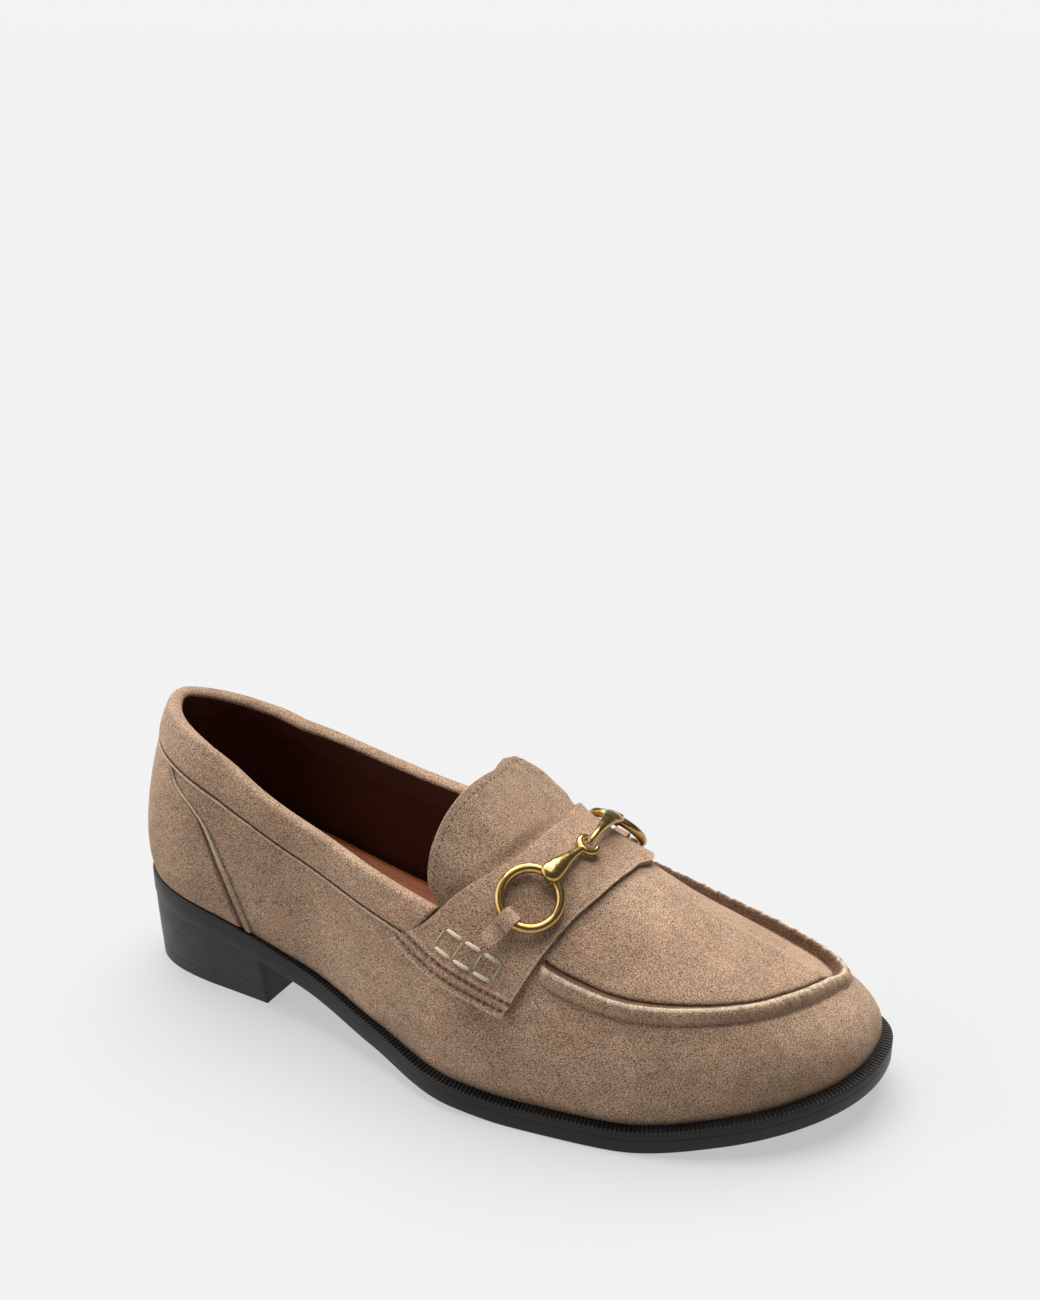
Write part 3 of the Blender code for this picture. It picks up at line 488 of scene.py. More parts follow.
def smooth_leather(name, colour, dark, rough):
    """Smooth finished leather: a fine pebbled grain, cloudy tone and a soft gloss."""
    material, tree, shader = new_material(name, Specular_IOR_Level=0.45)
    place = object_place(tree)
    clouds = noise(tree, place, size=14.0, detail=4.0, roughness=0.6)
    pebbles = add_node(tree, "ShaderNodeTexVoronoi", None, Vector=place, Scale=1 / (PEBBLE * MM))
    vary(tree, shader, Base_Color=mix(tree, remap(tree, clouds, 0.35, 0.7), dark, colour),
         Roughness=remap(tree, clouds, 0.3, 0.7, rough - 0.05, rough + 0.1),
         Normal=bump(tree, pebbles.outputs["Distance"], depth=0.08, strength=0.4))
    return material


insole_u = np.linspace(0.0, TIP, SOLE_COLUMNS)
insole_sheet = insole_top(np.broadcast_to(insole_u, (INSOLE_ROWS, SOLE_COLUMNS)),
                          np.linspace(0.0, 1.0, INSOLE_ROWS)[:, None])
insole_ring = sole_line(sole_ring, np.full(len(sole_ring), -INSOLE_INSET), INSOLE_BASE)
insole_rim = np.concatenate([insole_sheet[0], insole_sheet[-1, -2:0:-1]])
tan_leather = smooth_leather("tan insole leather", TAN, TAN_DARK, 0.5)
insole_side = np.array([insole_rim, insole_ring])
make_piece("insole", [(insole_sheet, False), (insole_side, True), (cap(insole_ring), False)], tan_leather,
           "insole_leather", "insole")

STITCH_RINGS = 7
STITCH_SIDES = 8
STITCH_DIVE = 0.45
INSOLE_STITCH = {"pitch": 3.2, "length": 2.4, "wide": 0.6, "high": 0.45}
STRANDS = 1.4


def stitches(points, normals, pitch, length, wide, high):
    """Short raised stitches laid end to end along a line: capsules whose ends dive into the leather."""
    run = run_along(points)
    middle = np.arange(pitch / 2, run[-1], pitch)

    def along(values, at):
        """Values read between the line's points, at distances along it."""
        return np.stack([np.interp(at, run, values[:, k]) for k in range(3)], -1)

    forward = unit(along(points, middle + length / 2) - along(points, middle - length / 2))
    up = along(normals, middle)
    across = np.cross(up, forward)
    t = np.linspace(-1.0, 1.0, STITCH_RINGS)[:, None]
    turn = FULL_TURN * np.arange(STITCH_SIDES) / STITCH_SIDES
    round_end = np.sqrt(np.clip(1 - t ** 4, 0.0, 1.0))
    ahead = np.broadcast_to(t * length / 2, (STITCH_RINGS, STITCH_SIDES))
    beside = wide / 2 * round_end * np.cos(turn)
    above = high / 2 * round_end * np.sin(turn) - high * STITCH_DIVE * t ** 2
    centre = along(points, middle)
    shape = [part[:, None, None, :] * size[None, :, :, None]
             for part, size in ((forward, ahead), (across, beside), (up, above))]
    return [(capsule, True) for capsule in centre[:, None, None, :] + sum(shape)]


def thread(name, colour, dark):
    """Twisted thread: fine slanting strands with a soft sheen, darker between them as painted shade in the
    grooves.
    """
    material, tree, shader = new_material(name, Roughness=0.75, Specular_IOR_Level=0.2, Sheen_Weight=0.2)
    place = object_place(tree)
    strands = add_node(tree, "ShaderNodeTexWave", {"bands_direction": "DIAGONAL"}, Vector=place,
                       Scale=1 / (STRANDS * MM), Distortion=2.0).outputs["Fac"]
    vary(tree, shader, Base_Color=mix(tree, remap(tree, strands, 0.1, 0.7), dark, colour),
         Normal=bump(tree, strands, depth=0.15, strength=0.5))
    return material


inner_row = np.linspace(*ROW_REACH, ROW_SAMPLES)
row_inset = np.full(ROW_SAMPLES, -INSOLE_INSET)
row_across = sole_line(RING - inner_row, row_inset) - sole_line(inner_row, row_inset)
row_share = EDGE_ROW / np.linalg.norm(row_across, axis=1)
upright = np.tile((0.0, 0.0, 1.0), (ROW_SAMPLES, 1))
insole_thread = thread("tan thread", TAN_THREAD, TAN_THREAD_DARK)
insole_rows = [row for share in (row_share, 1 - row_share)
               for row in stitches(insole_top(inner_row, share), upright, **INSOLE_STITCH)]
make_piece("insole_stitches", insole_rows, insole_thread, "thread")


# Upper
# Vamp, plug and quarters of taupe suede, pulled over the last and sewn to the welt. Plug and vamp are drawn
# up into a raised seam with raw edges: pale on top, dark brown where the cut faces the plug, and painted
# shade in the creases beside it.

CROWN = table("x crest side crown lean bulge",
              (0, 127.0, 2.5, 2.59, 0.0, 1.8), (40, 103.0, 2.37, 2.6, 0.0, 1.6),
              (75, 119.0, 2.4, 2.5, 1.0, 1.0), (110, 108.0, 2.35, 2.4, 2.0, 0.8),
              (140, 89.0, 2.35, 2.4, 3.0, 1.2), (163, 76.0, 2.35, 2.4, 3.0, 1.4),
              (195, 60.5, 2.35, 2.4, 2.5, 1.6), (225, 50.0, 2.35, 2.4, 1.0, 1.3),
              (258, 42.0, 2.35, 2.4, 0.0, 1.0))
BULGE_HEIGHT = 15.0
HEEL_EDGE_ROUND = 1.5
HEEL_CREST_ROUND = 0.5
HEEL_BACK_ROUND = 2.0
HEEL_BACK_WIDE = 0.12
HEEL_JOIN = 0.3
HEEL_JOIN_WIDE = 0.36
JOIN_STEPS = (-1.0, -0.6, -0.25, 0.25, 0.6, 1.0)
EDGE_TURNS = 4
TOP_EDGE = table("x z", (5.5, 95.9), (8, 95.3), (12, 94.4), (18, 93.1), (24, 91.7), (30, 90.0), (38, 87.1),
                 (52, 81.8), (75, 73.9), (110, 65.4), (140, 60.8), (165, 52.0))
INNER_RISE = table("x rise", (5.5, 0.0), (8, -0.7), (12, -1.8), (18, -2.7), (26, -3.35), (38, -1.5),
                   (52, 0.35), (75, 3.1), (90, 4.4), (110, 5.6), (140, 2.0), (165, 1.0))
THROAT_FROM = 146.0
THROAT_TO = 168.0
WALL = 2.0
SUEDE_WALL = 1.2
TUCK = 0.6
SURFACE_STEP = 0.0005
TOP_SHARE = 0.999
NEARLY = 1e-6
SEAM = table("station lateral medial", (1.85, 0.69, 0.82), (1.93, 0.67, 0.82), (2.02, 0.68, 0.82),
             (2.15, 0.72, 0.80), (2.31, 0.77, 0.76), (2.50, 0.81, 0.70), (2.72, 0.83, 0.66),
             (2.88, 0.81, 0.70), (3.00, 0.77, 0.77))
# The cut column is the brown of the cut face that looks at the plug; where it runs into the creases on both
# sides of the ridge it is painted shade.
SEAM_SECTION = table("angle rise raw cut",
                     (-0.120, 0.0, 0.0, 0.0), (-0.096, -0.35, 0.0, 0.2), (-0.080, 0.2, 0.0, 0.1),
                     (-0.062, 1.4, 0.0, 0.0), (-0.042, 2.3, 0.0, 0.0), (-0.022, 2.65, 0.0, 0.0),
                     (-0.010, 2.7, 0.7, 0.0), (0.003, 2.6, 0.7, 0.2), (0.011, 2.1, 0.1, 0.8),
                     (0.019, 1.2, 0.0, 1.0), (0.027, 0.1, 0.0, 1.0), (0.035, -0.6, 0.0, 1.0),
                     (0.046, -0.2, 0.0, 0.3), (0.064, 0.0, 0.0, 0.0))
FAR_RIDGE = table("station tall", (1.85, 0.9), (1.97, 0.85), (2.70, 0.8), (2.88, 0.9), (3.0, 1.0))
PLUG_DIP = table("station deep", (1.88, 0.0), (2.05, 2.0), (2.4, 2.8), (2.75, 2.3), (2.95, 0.0))
DIP_FOOT = (0.0, 0.06)
DIP_CROWN = (1.05, QUARTER_TURN)
SEAM_CLEAR = 0.5
SEAM_GROWS = 2.6
PUCKER = table("pitch height", (3.6, 0.16), (2.3, 0.12), (7.9, 0.14))
QUARTER_ROW = 0.6
LOW_ROWS = 34
SEAM_ROWS = 34
HIGH_ROWS = 30
WALL_ROWS = 24
STRAP_SKEW = 4.0
STRAP_END = 0.35
STRAP = table("angle rear front", (0.35, 118.5, 159.5), (0.53, 130.0, 163.5), (0.80, 139.5, 168.5),
              (1.00, 146.5, 171.0), (1.22, 152.0, 173.5), (QUARTER_TURN, 155.2, 176.5))
FRONT_SWEEP = table("past ahead", (-0.8, 0.0), (-0.5, 1.3), (-0.3, 2.2), (0.0, 2.6), (0.2, 5.4), (0.4, 4.4),
                    (0.66, 0.0))
CREASES = table("side station angle along up turn depth",
                (-1, 1.97, 0.56, 14.0, 3.0, -0.25, -0.55), (-1, 2.20, 0.52, 22.0, 4.0, 0.05, -0.35),
                (-1, 1.62, 0.34, 9.0, 16.0, 0.30, -0.45), (-1, 1.33, 0.42, 7.0, 15.0, -0.20, -0.40),
                (-1, 1.16, 0.40, 5.0, 14.0, 0.10, 0.40), (-1, 1.48, 0.40, 10.0, 12.0, 0.10, 0.30),
                (-1, 2.10, 1.00, 12.0, 6.0, 0.30, -0.45), (1, 2.12, 1.05, 14.0, 6.0, -0.20, -0.40),
                (-1, 2.45, 1.05, 10.0, 12.0, 0.00, 0.35), (1, 1.95, 0.50, 16.0, 4.0, 0.10, -0.50),
                (1, 1.55, 0.36, 9.0, 15.0, -0.20, -0.45), (1, 1.28, 0.42, 7.0, 14.0, 0.15, -0.35))
CREASE_X = 130.0
CREASE_UP = 42.0
THROAT_ROUND = 176.0
UPPER_COLUMNS = (41, 61, 41, 11, 111)
LOW_SPREAD = 0.9


def heel_roundness(station, climb):
    """Roundness of the heel's plan: falls with the square of the climb, eased at the very back."""
    high = HEEL_ROUND + (HEEL_CREST_ROUND - HEEL_ROUND) * climb ** 2
    back = bell(station, 0.0, HEEL_BACK_WIDE)
    return high + (np.maximum(high, HEEL_BACK_ROUND) - high) * back


def soft_plan(station, side, heel_round, share):
    """Plan with the corner where the heel meets the sides rounded off, by a mean along the stations."""
    reach = share * HEEL_JOIN * bell(station, 1.0, HEEL_JOIN_WIDE)
    plans = [feather_plan(station + step * reach, side, heel_round)[:2] for step in JOIN_STEPS]
    return [sum(values) / len(plans) for values in zip(*plans)]


def as_arrays(*values):
    """Numbers or grids as arrays of one shape."""
    return np.broadcast_arrays(*(np.asarray(value, float) for value in values))


def last_point(station, side, angle):
    """Surface of the last: superellipse arcs from the feather line (angle 0) to the crest (a right angle)."""
    station, side, angle = as_arrays(station, side, angle)
    foot_x, foot_w, pivot_x = feather_plan(station, side)
    reach = np.clip(np.cos(angle), 0, 1) ** (2 / read(CROWN, "side", foot_x))
    climb = np.clip(np.sin(angle), 0, 1) ** (2 / read(CROWN, "crown", foot_x))
    plan_x, plan_w = soft_plan(station, side, heel_roundness(station, climb), climb ** 2)
    lean = side * read(CROWN, "lean", pivot_x)
    x = pivot_x + reach * (plan_x - pivot_x)
    w = lean + reach * (plan_w - lean)
    foot_z = read(FEATHER, "z", foot_x)
    rise = (read(CROWN, "crest", np.where(station < 2, foot_x, x)) - foot_z) * climb
    height = rise / BULGE_HEIGHT
    bulge = read(CROWN, "bulge", foot_x) * height * np.exp(1 - height)
    ray = np.hypot(foot_x - pivot_x, foot_w) + NEARLY
    x = x + bulge * (foot_x - pivot_x) / ray
    w = w + bulge * foot_w / ray
    return np.stack([x, axis_y(x) + side * w, foot_z + rise], -1)


def last_normal(station, side, angle):
    """Outward direction of the last's surface, from small steps along it."""
    step = SURFACE_STEP
    station, side, angle = as_arrays(station, side, angle)
    station = np.clip(station, 2 * step, TIP - 2 * step)
    angle = np.clip(angle, 4 * step, QUARTER_TURN - 8 * step)
    along = last_point(station + step, side, angle) - last_point(station - step, side, angle)
    up = last_point(station, side, angle + step) - last_point(station, side, angle - step)
    return unit(np.cross(up, along) * side[..., None])


def skin(station, side, angle, lift):
    """A point lifted from the last's surface along its outward direction."""
    normal = last_normal(station, side, angle)
    return last_point(station, side, angle) + np.broadcast_to(lift, normal.shape[:-1])[..., None] * normal


def station_of(x):
    """Station of a section between seat and ball."""
    return 1.0 + (np.asarray(x, float) - SEAT_X) / (BALL_X - SEAT_X)


def angle_at(station, side, z):
    """Angle at which a station's ray reaches a height."""
    foot_x = feather_plan(station, side)[0]
    foot_z = read(FEATHER, "z", foot_x)
    share = np.clip((z - foot_z) / (read(CROWN, "crest", foot_x) - foot_z), 0.0, TOP_SHARE)
    return np.arcsin(share ** (read(CROWN, "crown", foot_x) / 2))


def edge_angle(station, side, drop=0.0):
    """Angle of the quarters' top edge, or of a line lower by a drop; it is higher on the inner side."""
    x = feather_plan(station, side, HEEL_EDGE_ROUND)[0]
    for turn in range(EDGE_TURNS):
        height = read(TOP_EDGE, "z", x) + np.where(side > 0, read(INNER_RISE, "rise", x), 0.0)
        x = last_point(station, side, angle_at(station, side, height))[..., 0]
    return angle_at(station, side, height - drop)


def upper_edge(station, side):
    """Angle of the upper's edge: the quarters' top edge, then the throat's climb to the crest."""
    quarter = edge_angle(station, side)
    foot_x = feather_plan(station, side)[0]
    return quarter + (QUARTER_TURN - quarter) * ease(foot_x, THROAT_FROM, THROAT_TO)


def strap_edges(angle, side):
    """x of the strap's rear and front edges at an angle; the inner end lies a little further forward."""
    skew = STRAP_SKEW * (side > 0) * (QUARTER_TURN - angle) / (QUARTER_TURN - STRAP_END)
    sweep = read(FRONT_SWEEP, "ahead", (QUARTER_TURN - angle) * side)
    return read(STRAP, "rear", angle) + skew, read(STRAP, "front", angle) + skew + sweep


def creases(station, side, angle):
    """Soft troughs and ridges in the suede: bell-shaped, longer one way and turned on the surface."""
    total = np.zeros(np.broadcast(station, side, angle).shape)
    for at_side, at_station, at_angle, along, up, turn, depth in zip(*CREASES.values()):
        a = (station - at_station) * CREASE_X
        b = (angle - at_angle) * CREASE_UP
        turned_a = a * math.cos(turn) + b * math.sin(turn)
        turned_b = b * math.cos(turn) - a * math.sin(turn)
        hill = np.exp(-(turned_a / along) ** 2 - (turned_b / up) ** 2)
        total = total + depth * hill * (side == at_side)
    return total


def plug_dip(station, side, angle):
    """How far the plug sinks beside the inner ridge: deepest next to the seam, and nothing at the crown."""
    beside = ease(angle - read(SEAM, "medial", station), *DIP_FOOT) * (1 - ease(angle, *DIP_CROWN))
    return -read(PLUG_DIP, "deep", station) * beside * (side > 0)


one_side = [np.linspace(0.0, 1.0, UPPER_COLUMNS[0])]
for start, end, count in zip((SEAT_X, THROAT_FROM, THROAT_ROUND), (THROAT_FROM, THROAT_ROUND, BALL_X),
                             UPPER_COLUMNS[1:4]):
    one_side.append(station_of(np.linspace(start, end, count)[1:]))
one_side = np.concatenate([*one_side, np.linspace(2.0, TIP, UPPER_COLUMNS[4])[1:]])
upper_ring = paired_ring(one_side)
up_station, up_side = ring_place(upper_ring)
up_x = feather_plan(up_station, up_side)[0]
top_edge = upper_edge(up_station, up_side)
closed = top_edge > QUARTER_TURN - NEARLY
seam_at = np.where(up_side < 0, read(SEAM, "lateral", up_station), read(SEAM, "medial", up_station))
seam_start = strap_edges(seam_at, up_side)[1] + SEAM_CLEAR
seam_grown = ease(up_x, seam_start, seam_start + SEAM_GROWS)
quarter_row = QUARTER_ROW * top_edge
seam_row = quarter_row + (seam_at - quarter_row) * ease(up_x, THROAT_FROM, seam_start)

seam_angles = np.interp(np.linspace(0, 1, SEAM_ROWS), np.linspace(0, 1, len(SEAM_SECTION["angle"])),
                        SEAM_SECTION["angle"])
low_rows = (seam_row + seam_angles[0]) * np.linspace(0.0, 1.0, LOW_ROWS)[:-1, None] ** LOW_SPREAD
seam_top = seam_row + seam_angles[-1]
high_rows = seam_top + (top_edge - seam_top) * np.linspace(0, 1, HIGH_ROWS)[1:, None]
upper_angles = np.concatenate([low_rows, seam_row + seam_angles[:, None], high_rows])
seam_slice = slice(len(low_rows), len(low_rows) + SEAM_ROWS)


def close_crown(points):
    """The top row brought to one crest line from both sides, and the toe's rays to one point."""
    meeting = (points[-1] + mirrored(points[-1])) / 2
    meeting[up_station >= 2.0] = meeting[np.isclose(up_station, 2.0)][0]
    points[-1] = np.where(closed[:, None], meeting, points[-1])
    return points


feather_run = run_along(feather_point(upper_ring))
pucker = sum(high * np.sin(FULL_TURN * feather_run / pitch) for pitch, high in zip(*PUCKER.values()))
tall = seam_grown * np.where(up_side > 0, read(FAR_RIDGE, "tall", up_station), 1.0)
upper_lift = creases(up_station, up_side, upper_angles) + plug_dip(up_station, up_side, upper_angles)
upper_lift[seam_slice] += read(SEAM_SECTION, "rise", seam_angles)[:, None] * tall
upper_lift[seam_slice] += (np.sin(np.linspace(0, math.pi, SEAM_ROWS)) ** 2)[:, None] * pucker * seam_grown
raw_edge = np.zeros_like(upper_angles)
raw_edge[seam_slice] = read(SEAM_SECTION, "raw", seam_angles)[:, None] * seam_grown
# Brown on the cut face, and painted shade in the creases beside the ridge.
cut_face_and_crease_shade = np.zeros_like(upper_angles)
cut_face_and_crease_shade[seam_slice] = read(SEAM_SECTION, "cut", seam_angles)[:, None] * seam_grown
upper_out = close_crown(skin(up_station, up_side, upper_angles, upper_lift))
wall_angles = np.linspace(0.0, 1.0, WALL_ROWS)[:, None] * top_edge
wall_dip = plug_dip(up_station, up_side, wall_angles)
upper_back = close_crown(skin(up_station, up_side, wall_angles, wall_dip - SUEDE_WALL))
upper_out[0, :, 2] -= TUCK
upper_back[0, :, 2] = upper_out[0, :, 2]
open_columns = np.flatnonzero(~closed)
first_closed = open_columns[open_columns < len(one_side)].max() + 1
around = np.arange(-first_closed, first_closed + 1)


def edge_strip(first, second):
    """The cut edge round the collar, from the crest down one side, round the heel and up the other."""
    return np.array([first[-1][around], second[-1][around]])


SUEDE_MID = srgb(160, 134, 111)
SUEDE_DARK = srgb(143, 117, 96)
SUEDE_WARM = srgb(162, 129, 105)
SUEDE_SHEEN = srgb(232, 214, 192)
RAW_CREAM = srgb(204, 188, 162)
# Brown of cut leather faces, also used as painted shade in seam grooves, creases and stitch pits.
CUT_FACE_AND_SHADE_BROWN = srgb(78, 54, 39)
FIBRE = (0.34, 0.66)
FIBRE_SHADE = (0.28, 1.72)
RAW_EVEN = 0.75
RAW_FIBRE = (0.38, 0.6, 0.5, 1.0)
BRUSH_SHADE = (0.3, 0.7, 0.88, 1.12)
NAP_RUNS = (0.6, 1.15, 1.15)
WHITE = srgb(255, 255, 255)


def times(tree, first, second):
    """Product of two values."""
    node = add_node(tree, "ShaderNodeMath", {"operation": "MULTIPLY"})
    join(tree, node.inputs[0], first)
    join(tree, node.inputs[1], second)
    return node.outputs[0]


def suede(name, tone=1.0, raw=0.0):
    """Napped leather: faint patches where the nap lies another way, and a grain of pale and dark fibres.

    The piece's masks, or raw for the whole piece, show where a cut edge is pale (raw) or brown (cut).
    The cut mask also paints shade brown into seam grooves, creases and stitch pits.
    """
    material, tree, shader = new_material(name, Roughness=0.95, Specular_IOR_Level=0.1, Sheen_Weight=0.2,
                                          Sheen_Roughness=0.5, Sheen_Tint=SUEDE_SHEEN)
    place = object_place(tree)
    along = add_node(tree, "ShaderNodeMapping", None, Vector=place, Scale=NAP_RUNS).outputs["Vector"]
    patches = noise(tree, place, size=24.0, detail=3.0)
    warmth = noise(tree, place, size=15.0)
    brushed = noise(tree, along, size=4.5, detail=3.0, roughness=0.6)
    fibre = noise(tree, along, size=0.34, detail=1.5, roughness=0.6)
    nap = noise(tree, along, size=0.3, detail=1.0)
    cut_and_shade_mask, raw_mask = (add_node(tree, "ShaderNodeAttribute", {"attribute_name": mask}).outputs["Fac"]
                          for mask in ("cut", "raw"))
    frayed = times(tree, raw_mask, remap(tree, fibre, *RAW_FIBRE))
    colour = mix(tree, remap(tree, patches, 0.36, 0.64), SUEDE_DARK, SUEDE_MID)
    colour = mix(tree, remap(tree, warmth, 0.5, 0.7, 0.0, 0.5), colour, SUEDE_WARM)
    colour = mix(tree, raw, colour, RAW_CREAM)
    # Brown by the cut mask: cut faces, and painted shade in seam grooves, creases and stitch pits.
    colour = mix(tree, cut_and_shade_mask, colour, CUT_FACE_AND_SHADE_BROWN)
    colour = mix(tree, frayed, colour, RAW_CREAM)
    grain = times(tree, remap(tree, fibre, *FIBRE, *FIBRE_SHADE), remap(tree, brushed, *BRUSH_SHADE))
    shade = times(tree, grain, tone)
    grey = add_node(tree, "ShaderNodeCombineColor", None, Red=shade, Green=shade, Blue=shade).outputs["Color"]
    grey = mix(tree, times(tree, raw_mask, RAW_EVEN), grey, WHITE)
    under = bump(tree, fibre, depth=0.25, strength=0.5)
    vary(tree, shader, Base_Color=mix(tree, 1.0, colour, grey, "MULTIPLY"),
         Normal=bump(tree, nap, depth=0.12, strength=0.4, under=under))
    return material


vamp_suede = suede("vamp suede")
plain_suede = suede("trim suede", 0.97)
# The tongue's copy of the suede is darker: painted shade.
tongue_suede = suede("tongue suede", 0.82)
# A darker copy for the cut side walls of tongue, strap and tabs: painted shade along their edges, with a
# little pale fray.
shaded_edge_suede = suede("cut suede edge with painted shade", 0.8, 0.1)
cream_suede = suede("raw suede edge", 1.0, 0.7)


def walls(first, second):
    """Two walls on the upper's ring of columns, closed at the foot and along the cut edge."""
    foot = np.array([first[0], second[0]])
    return [(first, True), (second, True), (foot, True), (edge_strip(first, second), False)]


make_piece("upper", walls(upper_out, upper_back), vamp_suede, "suede", "upper",
           masks={"raw": raw_edge, "cut": cut_face_and_crease_shade})

LINING_BROWN = srgb(64, 27, 17)
LINING_DARK = srgb(46, 18, 11)
LINING_GAP = 0.06
lining_out = close_crown(skin(up_station, up_side, wall_angles, wall_dip - SUEDE_WALL - LINING_GAP))
lining_in = close_crown(skin(up_station, up_side, wall_angles, wall_dip - WALL))
lining_leather = smooth_leather("brown lining", LINING_BROWN, LINING_DARK, 0.6)
make_piece("lining", walls(lining_in, lining_out), lining_leather, "lining")


# Counter
# A suede overlay round the back of the heel, from the sole to the collar. Its front edge is cut raw in a long
# curve and sewn down in a groove just inside the edge; painted shade darkens the groove.

COUNTER_UNDER = 0.15
COUNTER_FACE = 1.15
COUNTER_FOOT = 0.4
COUNTER_LAP = 0.6
COUNTER_CORNER = 0.25
COLLAR_DROP = 10.9
COUNTER_EDGE = table("height station", (0.0, 1.10), (0.3, 1.05), (0.55, 1.0), (0.68, 0.95), (0.77, 0.85),
                     (0.86, 0.70), (1.0, 0.60))
COUNTER_GRID = (70, 221)
COUNTER_SEAM = 0.021
COUNTER_FRAY = (0.003, 0.011)
FRAY_HEIGHT = (0.2, 0.6)
SEAM_WIDE = 0.007
SEAM_DEEP = 0.8
SEAM_THREAD = srgb(122, 98, 78)
SEAM_THREAD_DARK = srgb(78, 60, 46)
COUNTER_STITCH = {"pitch": 2.2, "length": 1.6, "wide": 0.45, "high": 0.5}
COUNTER_ROW = np.linspace(0.02, 0.98, 200)


def shell(outer, inner):
    """A closed solid between two sheets of one grid, with strips round their edges."""
    sheets = (outer, inner)
    ends = [np.array([sheet[k] for sheet in sheets]) for k in (0, -1)]
    sides = [np.array([sheet[:, k] for sheet in sheets]) for k in (0, -1)]
    return [(part, False) for part in (*sheets, *ends, *sides)]


def side_of(across):
    """The outer side (-1) below zero, the inner side (1) from zero up."""
    return np.where(across < 0, -1.0, 1.0)


def counter_place(height, across):
    """Station, side and angle on the counter: up from the sole (0 to 1), round the heel (-1 to 1)."""
    side = side_of(across)
    station = np.abs(across) * read(COUNTER_EDGE, "station", height)
    top = edge_angle(station, side, COLLAR_DROP - COUNTER_LAP)
    foot = angle_at(station, side, read(FEATHER, "z", feather_plan(station, side)[0]) + COUNTER_FOOT)
    return station, side, foot + (top - foot) * height


counter_across = np.sin(QUARTER_TURN * np.linspace(-1, 1, COUNTER_GRID[1]))[None, :]
counter_height = np.linspace(0, 1, COUNTER_GRID[0])[:, None]
counter_at = counter_place(counter_height, counter_across)
from_edge = np.broadcast_to(1 - np.abs(counter_across), COUNTER_GRID)
sewn = bell(from_edge, COUNTER_SEAM, SEAM_WIDE)
frayed_edge = (1 - ease(from_edge, *COUNTER_FRAY)) * ease(counter_height, *FRAY_HEIGHT)
counter_face = skin(*counter_at, COUNTER_FACE - SEAM_DEEP * sewn)
# The cut mask paints the stitch groove brown: painted shade in the groove.
counter = make_piece("counter", shell(counter_face, skin(*counter_at, COUNTER_UNDER)), plain_suede, "suede",
                     "counter", masks={"raw": frayed_edge, "cut": sewn}, edge=(cream_suede, 2))
take_off_corners(counter, COUNTER_CORNER)
seam_thread = thread("taupe thread", SEAM_THREAD, SEAM_THREAD_DARK)
counter_rows = []
for end in (-1.0, 1.0):
    line = counter_place(COUNTER_ROW, np.full(len(COUNTER_ROW), end) * (1 - COUNTER_SEAM))
    counter_rows += stitches(skin(*line, COUNTER_FACE - SEAM_DEEP), last_normal(*line), **COUNTER_STITCH)
make_piece("counter_stitches", counter_rows, seam_thread, "thread")


# Collar
# A padded suede band folded over the quarters' top edge, from the strap round the heel to the strap. It is
# sewn through in a groove, darkened with painted shade, along its lower edge, which is left raw; inside, it
# is faced with lining leather.

COLLAR_STOP = 0.6
COLLAR_END_X = 131.0
COLLAR_SECTION = table("row drop face", (0, 10.9, 0.15), (1, 10.9, 0.95), (2, 10.65, 1.25), (3, 10.3, 1.2),
                       (4, 9.85, 0.4), (5, 9.3, 1.2), (6, 7.6, 1.75), (7, 4.0, 1.95), (8, 0.6, 1.7),
                       (9, -1.4, 1.3), (10, -2.3, 0.2), (11, -2.4, -1.4), (12, -2.0, -2.8), (13, -1.0, -3.5),
                       (14, 4.0, -3.7), (15, 9.6, -3.1), (16, 10.0, -2.5), (17, 10.0, -2.05))
COLLAR_GROOVE = 4
GROOVE_ROWS = 0.7
COLLAR_FRAY = (2.2, 3.4)
COLLAR_FACING = 13
COLLAR_SAMPLES = 5
COLLAR_COLUMNS = 301
COLLAR_STITCH = {"pitch": 2.3, "length": 1.7, "wide": 0.45, "high": 0.5}
COLLAR_ROW = np.linspace(-0.995, 0.995, 900)


def collar_line(row, across):
    """Station, side, angle and lift on the collar's section, carried along the quarters' top edge."""
    side = side_of(across)
    drop = read(COLLAR_SECTION, "drop", row)
    end_angle = edge_angle(station_of(COLLAR_END_X), side, drop)
    station = np.abs(across) * station_of(strap_edges(end_angle, side)[0] - COLLAR_STOP)
    return station, side, edge_angle(station, side, drop), read(COLLAR_SECTION, "face", row)


last_row = len(COLLAR_SECTION["row"]) - 1
collar_rows = np.linspace(0, last_row, last_row * COLLAR_SAMPLES + 1)[:, None]
collar_face = skin(*collar_line(collar_rows, np.linspace(-1, 1, COLLAR_COLUMNS)[None, :]))
facing_row = COLLAR_FACING * COLLAR_SAMPLES
collar_half = len(collar_rows) // 2
collar_outer, collar_inner = collar_face[:collar_half], collar_face[:collar_half - 1:-1]
collar_core = (collar_outer + collar_inner) / 2
collar_ends = [(np.array([part[:, k] for part in (collar_outer, collar_core, collar_inner)]), False)
               for k in (0, -1)]
fold_rows = np.broadcast_to(collar_rows[:facing_row + 1], (facing_row + 1, COLLAR_COLUMNS))
